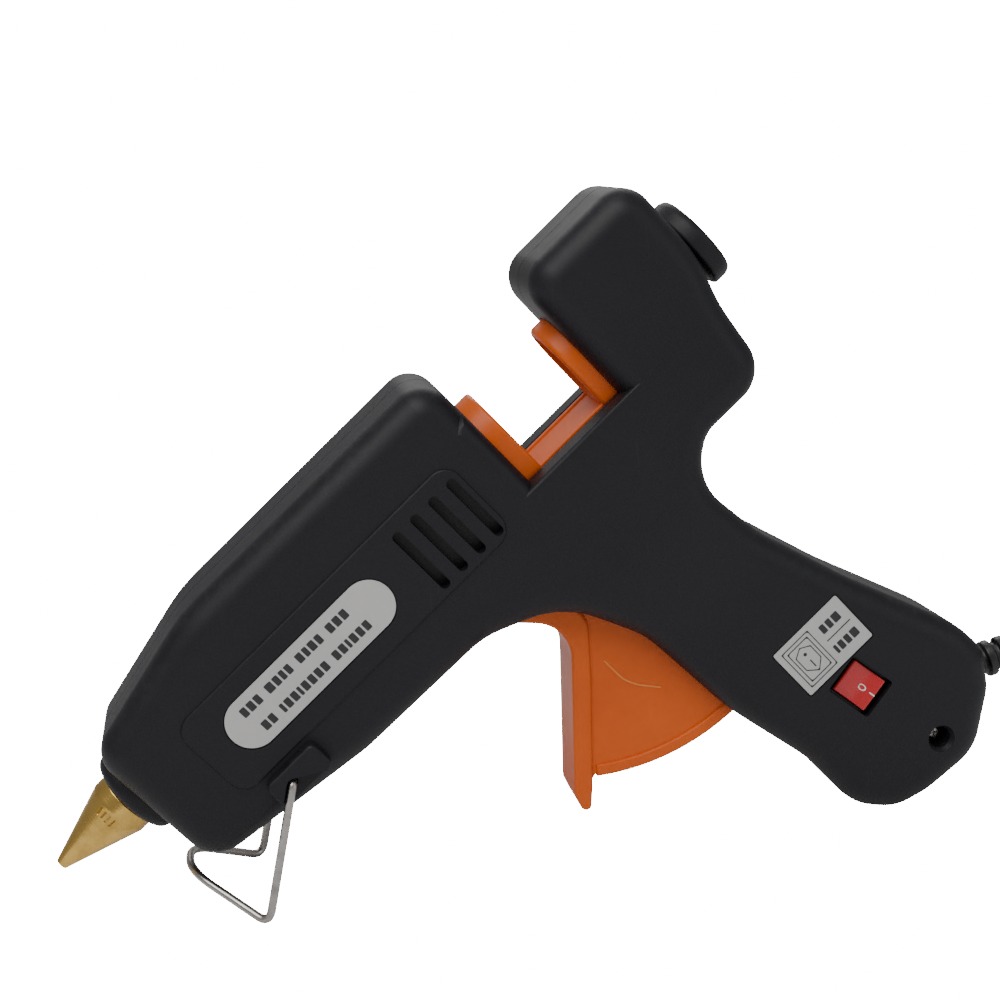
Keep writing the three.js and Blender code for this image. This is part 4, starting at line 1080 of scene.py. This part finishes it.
def blocks(name, start, widths, height, z, y, gapWidth=0.5, spaceWidth=1.5):
    made = []
    x = start
    for width in widths:
        if width == 0:
            x += spaceWidth
            continue
        corners = rect(x, z - height / 2, x + width, z + height / 2, 0.25)
        made.append(slab(name, corners, y - 0.05, y + 0.02))
        x += width + gapWidth
    base = made[0]
    hold(base)
    for part in made[1:]:
        part.select_set(True)
    bpy.ops.object.join()
    return base


def makeLabels():
    face = -19.1
    oval = slab("foil_oval", rect(-78.25, -9.2, -30.35, 3.0, 6.05), face, face + 0.4, 0.1, 2, 5)
    finished(oval, "housing", "foil", ["oval_label"])
    rows = ((-72.6, [1.5, 1.6, 1.5, 0, 1.9, 1.4, 1.2, 1.4, 0, 1.6, 1.2, 1.6, 1.4, 0, 1.6, 1.6, 1.6], -0.35),
            (-71.4, [1.6, 1.5, 0, 0.9, 1.5, 1.5, 0.8, 1.5, 1.5, 1.5, 1.5, 0, 1.5, 1.5, 0.8, 1.5, 1.5, 1.5],
             -5.75))
    for i, (start, widths, z) in enumerate(rows):
        finished(blocks(f"oval_row_{i + 1}", start, widths, 2.3, z, face), "housing", "print")
    plate = slab("foil_rating", rect(19.5, -93.9, 39.7, -80.1, 0.5), -16, -15.6, 0.1, 2)
    finished(plate, "housing", "foil", ["rating_label"])

    def outlineOf(name, corners, width):
        frame = slab(name, corners, -16.05, -15.98)
        carve(frame, slab("inner", insetCorners(corners, width), -17, -15))
        return finished(frame, "housing", "print")

    outlineOf("picture_frame", rect(21.0, -92.6, 29.4, -81.4, 0.2), 0.22)
    outlineOf("picture_inner", rect(22.0, -91.6, 28.4, -82.4, 0.2), 0.22)
    outlineOf("picture_key", [(22.8, -88.6, 0.2), (25.2, -90.8, 0.2), (27.6, -88.6, 0.2), (27.6, -84.6, 0.2),
                              (25.2, -83.2, 0.2), (22.8, -84.6, 0.2)], 0.22)
    dot = pin("picture_dot", 25.2, -85.4, 0.42, -16.05, -15.98, 20)
    finished(dot, "housing", "print")
    stroke = slab("picture_stroke", rect(25.05, -89.4, 25.35, -87.2, 0.1), -16.05, -15.98)
    finished(stroke, "housing", "print")
    line = slab("rating_line", rect(31.0, -87.05, 38.4, -86.8, 0.08), -16.05, -15.98)
    finished(line, "housing", "print")
    for i, z in enumerate((-84.0, -90.0)):
        widths = [1.4, 1.4, 1.9] if i == 0 else [0.8, 1.4, 1.4, 1.9]
        row = blocks(f"rating_row_{i + 1}", 31.6 - i * 0.6, widths, 2.3, z, -16)
        finished(row, "housing", "print")


makeLabels()


def makeScrews():
    for i, (x, z, side) in enumerate(screwPosts):
        head = lathe(f"cross_screw_{i + 1}", soften([
            (0, -8.8), (1.4, -8.8), (1.4, 9.2), (2.25, 9.4), (2.25, 10.2), (1.2, 11.1), (0, 11.1),
        ], 0.25), 48, ((x, 0, z), (0, side, 0)))
        for turn in (35, 125):
            slot = slab("slot", rect(-1.3, -0.28, 1.3, 0.28, 0.1), *sorted((side * 10.2, side * 12)))
            slot.data.transform(Matrix.Translation((x * mm, 0, z * mm))
                                @ Matrix.Rotation(math.radians(turn), 4, "Y"))
            carve(head, slot)
        finished(head, "housing", "steel", [f"housing_screw_{i + 1}"])


makeScrews()
print("labels and screws made")


kept = {
    "housing": ["housing_left", "housing_right"],
    "orange": ["feed_carriage", "trigger"],
    "trim": ["nose_ring", "inlet_collar", "switch_body", "cord_clamp"],
    "brass": ["nozzle", "switch_terminal_1", "switch_terminal_2"], "castAluminium": ["melt_chamber"],
    "steel": ["stand_wire", "trigger_pin", "gripper_pin", "stick_gripper", "heater_clamp", "sleeve_clip",
              "return_spring", "clamp_screw_1", "clamp_screw_2",
              *(f"housing_screw_{i}" for i in range(1, 7))],
    "silicone": ["inlet_sleeve"], "ceramic": ["heater_plate_1", "heater_plate_2", "terminal_block"],
    "mica": ["insulation_wrap", "chamber_saddle_front", "chamber_saddle_rear"],
    "rockerRed": ["switch_rocker"],
    "foil": ["oval_label", "rating_label"], "cordRubber": ["strain_relief", "cord_tail"],
    "leadBrown": ["heater_lead_1"], "leadBlue": ["heater_lead_2"],
}
for finish, names in kept.items():
    for name in names:
        if nodes[name].hide_render:
            continue
        nodes[name].data.materials.clear()
        nodes[name].data.materials.append(paint[finish])
print("finishes given")
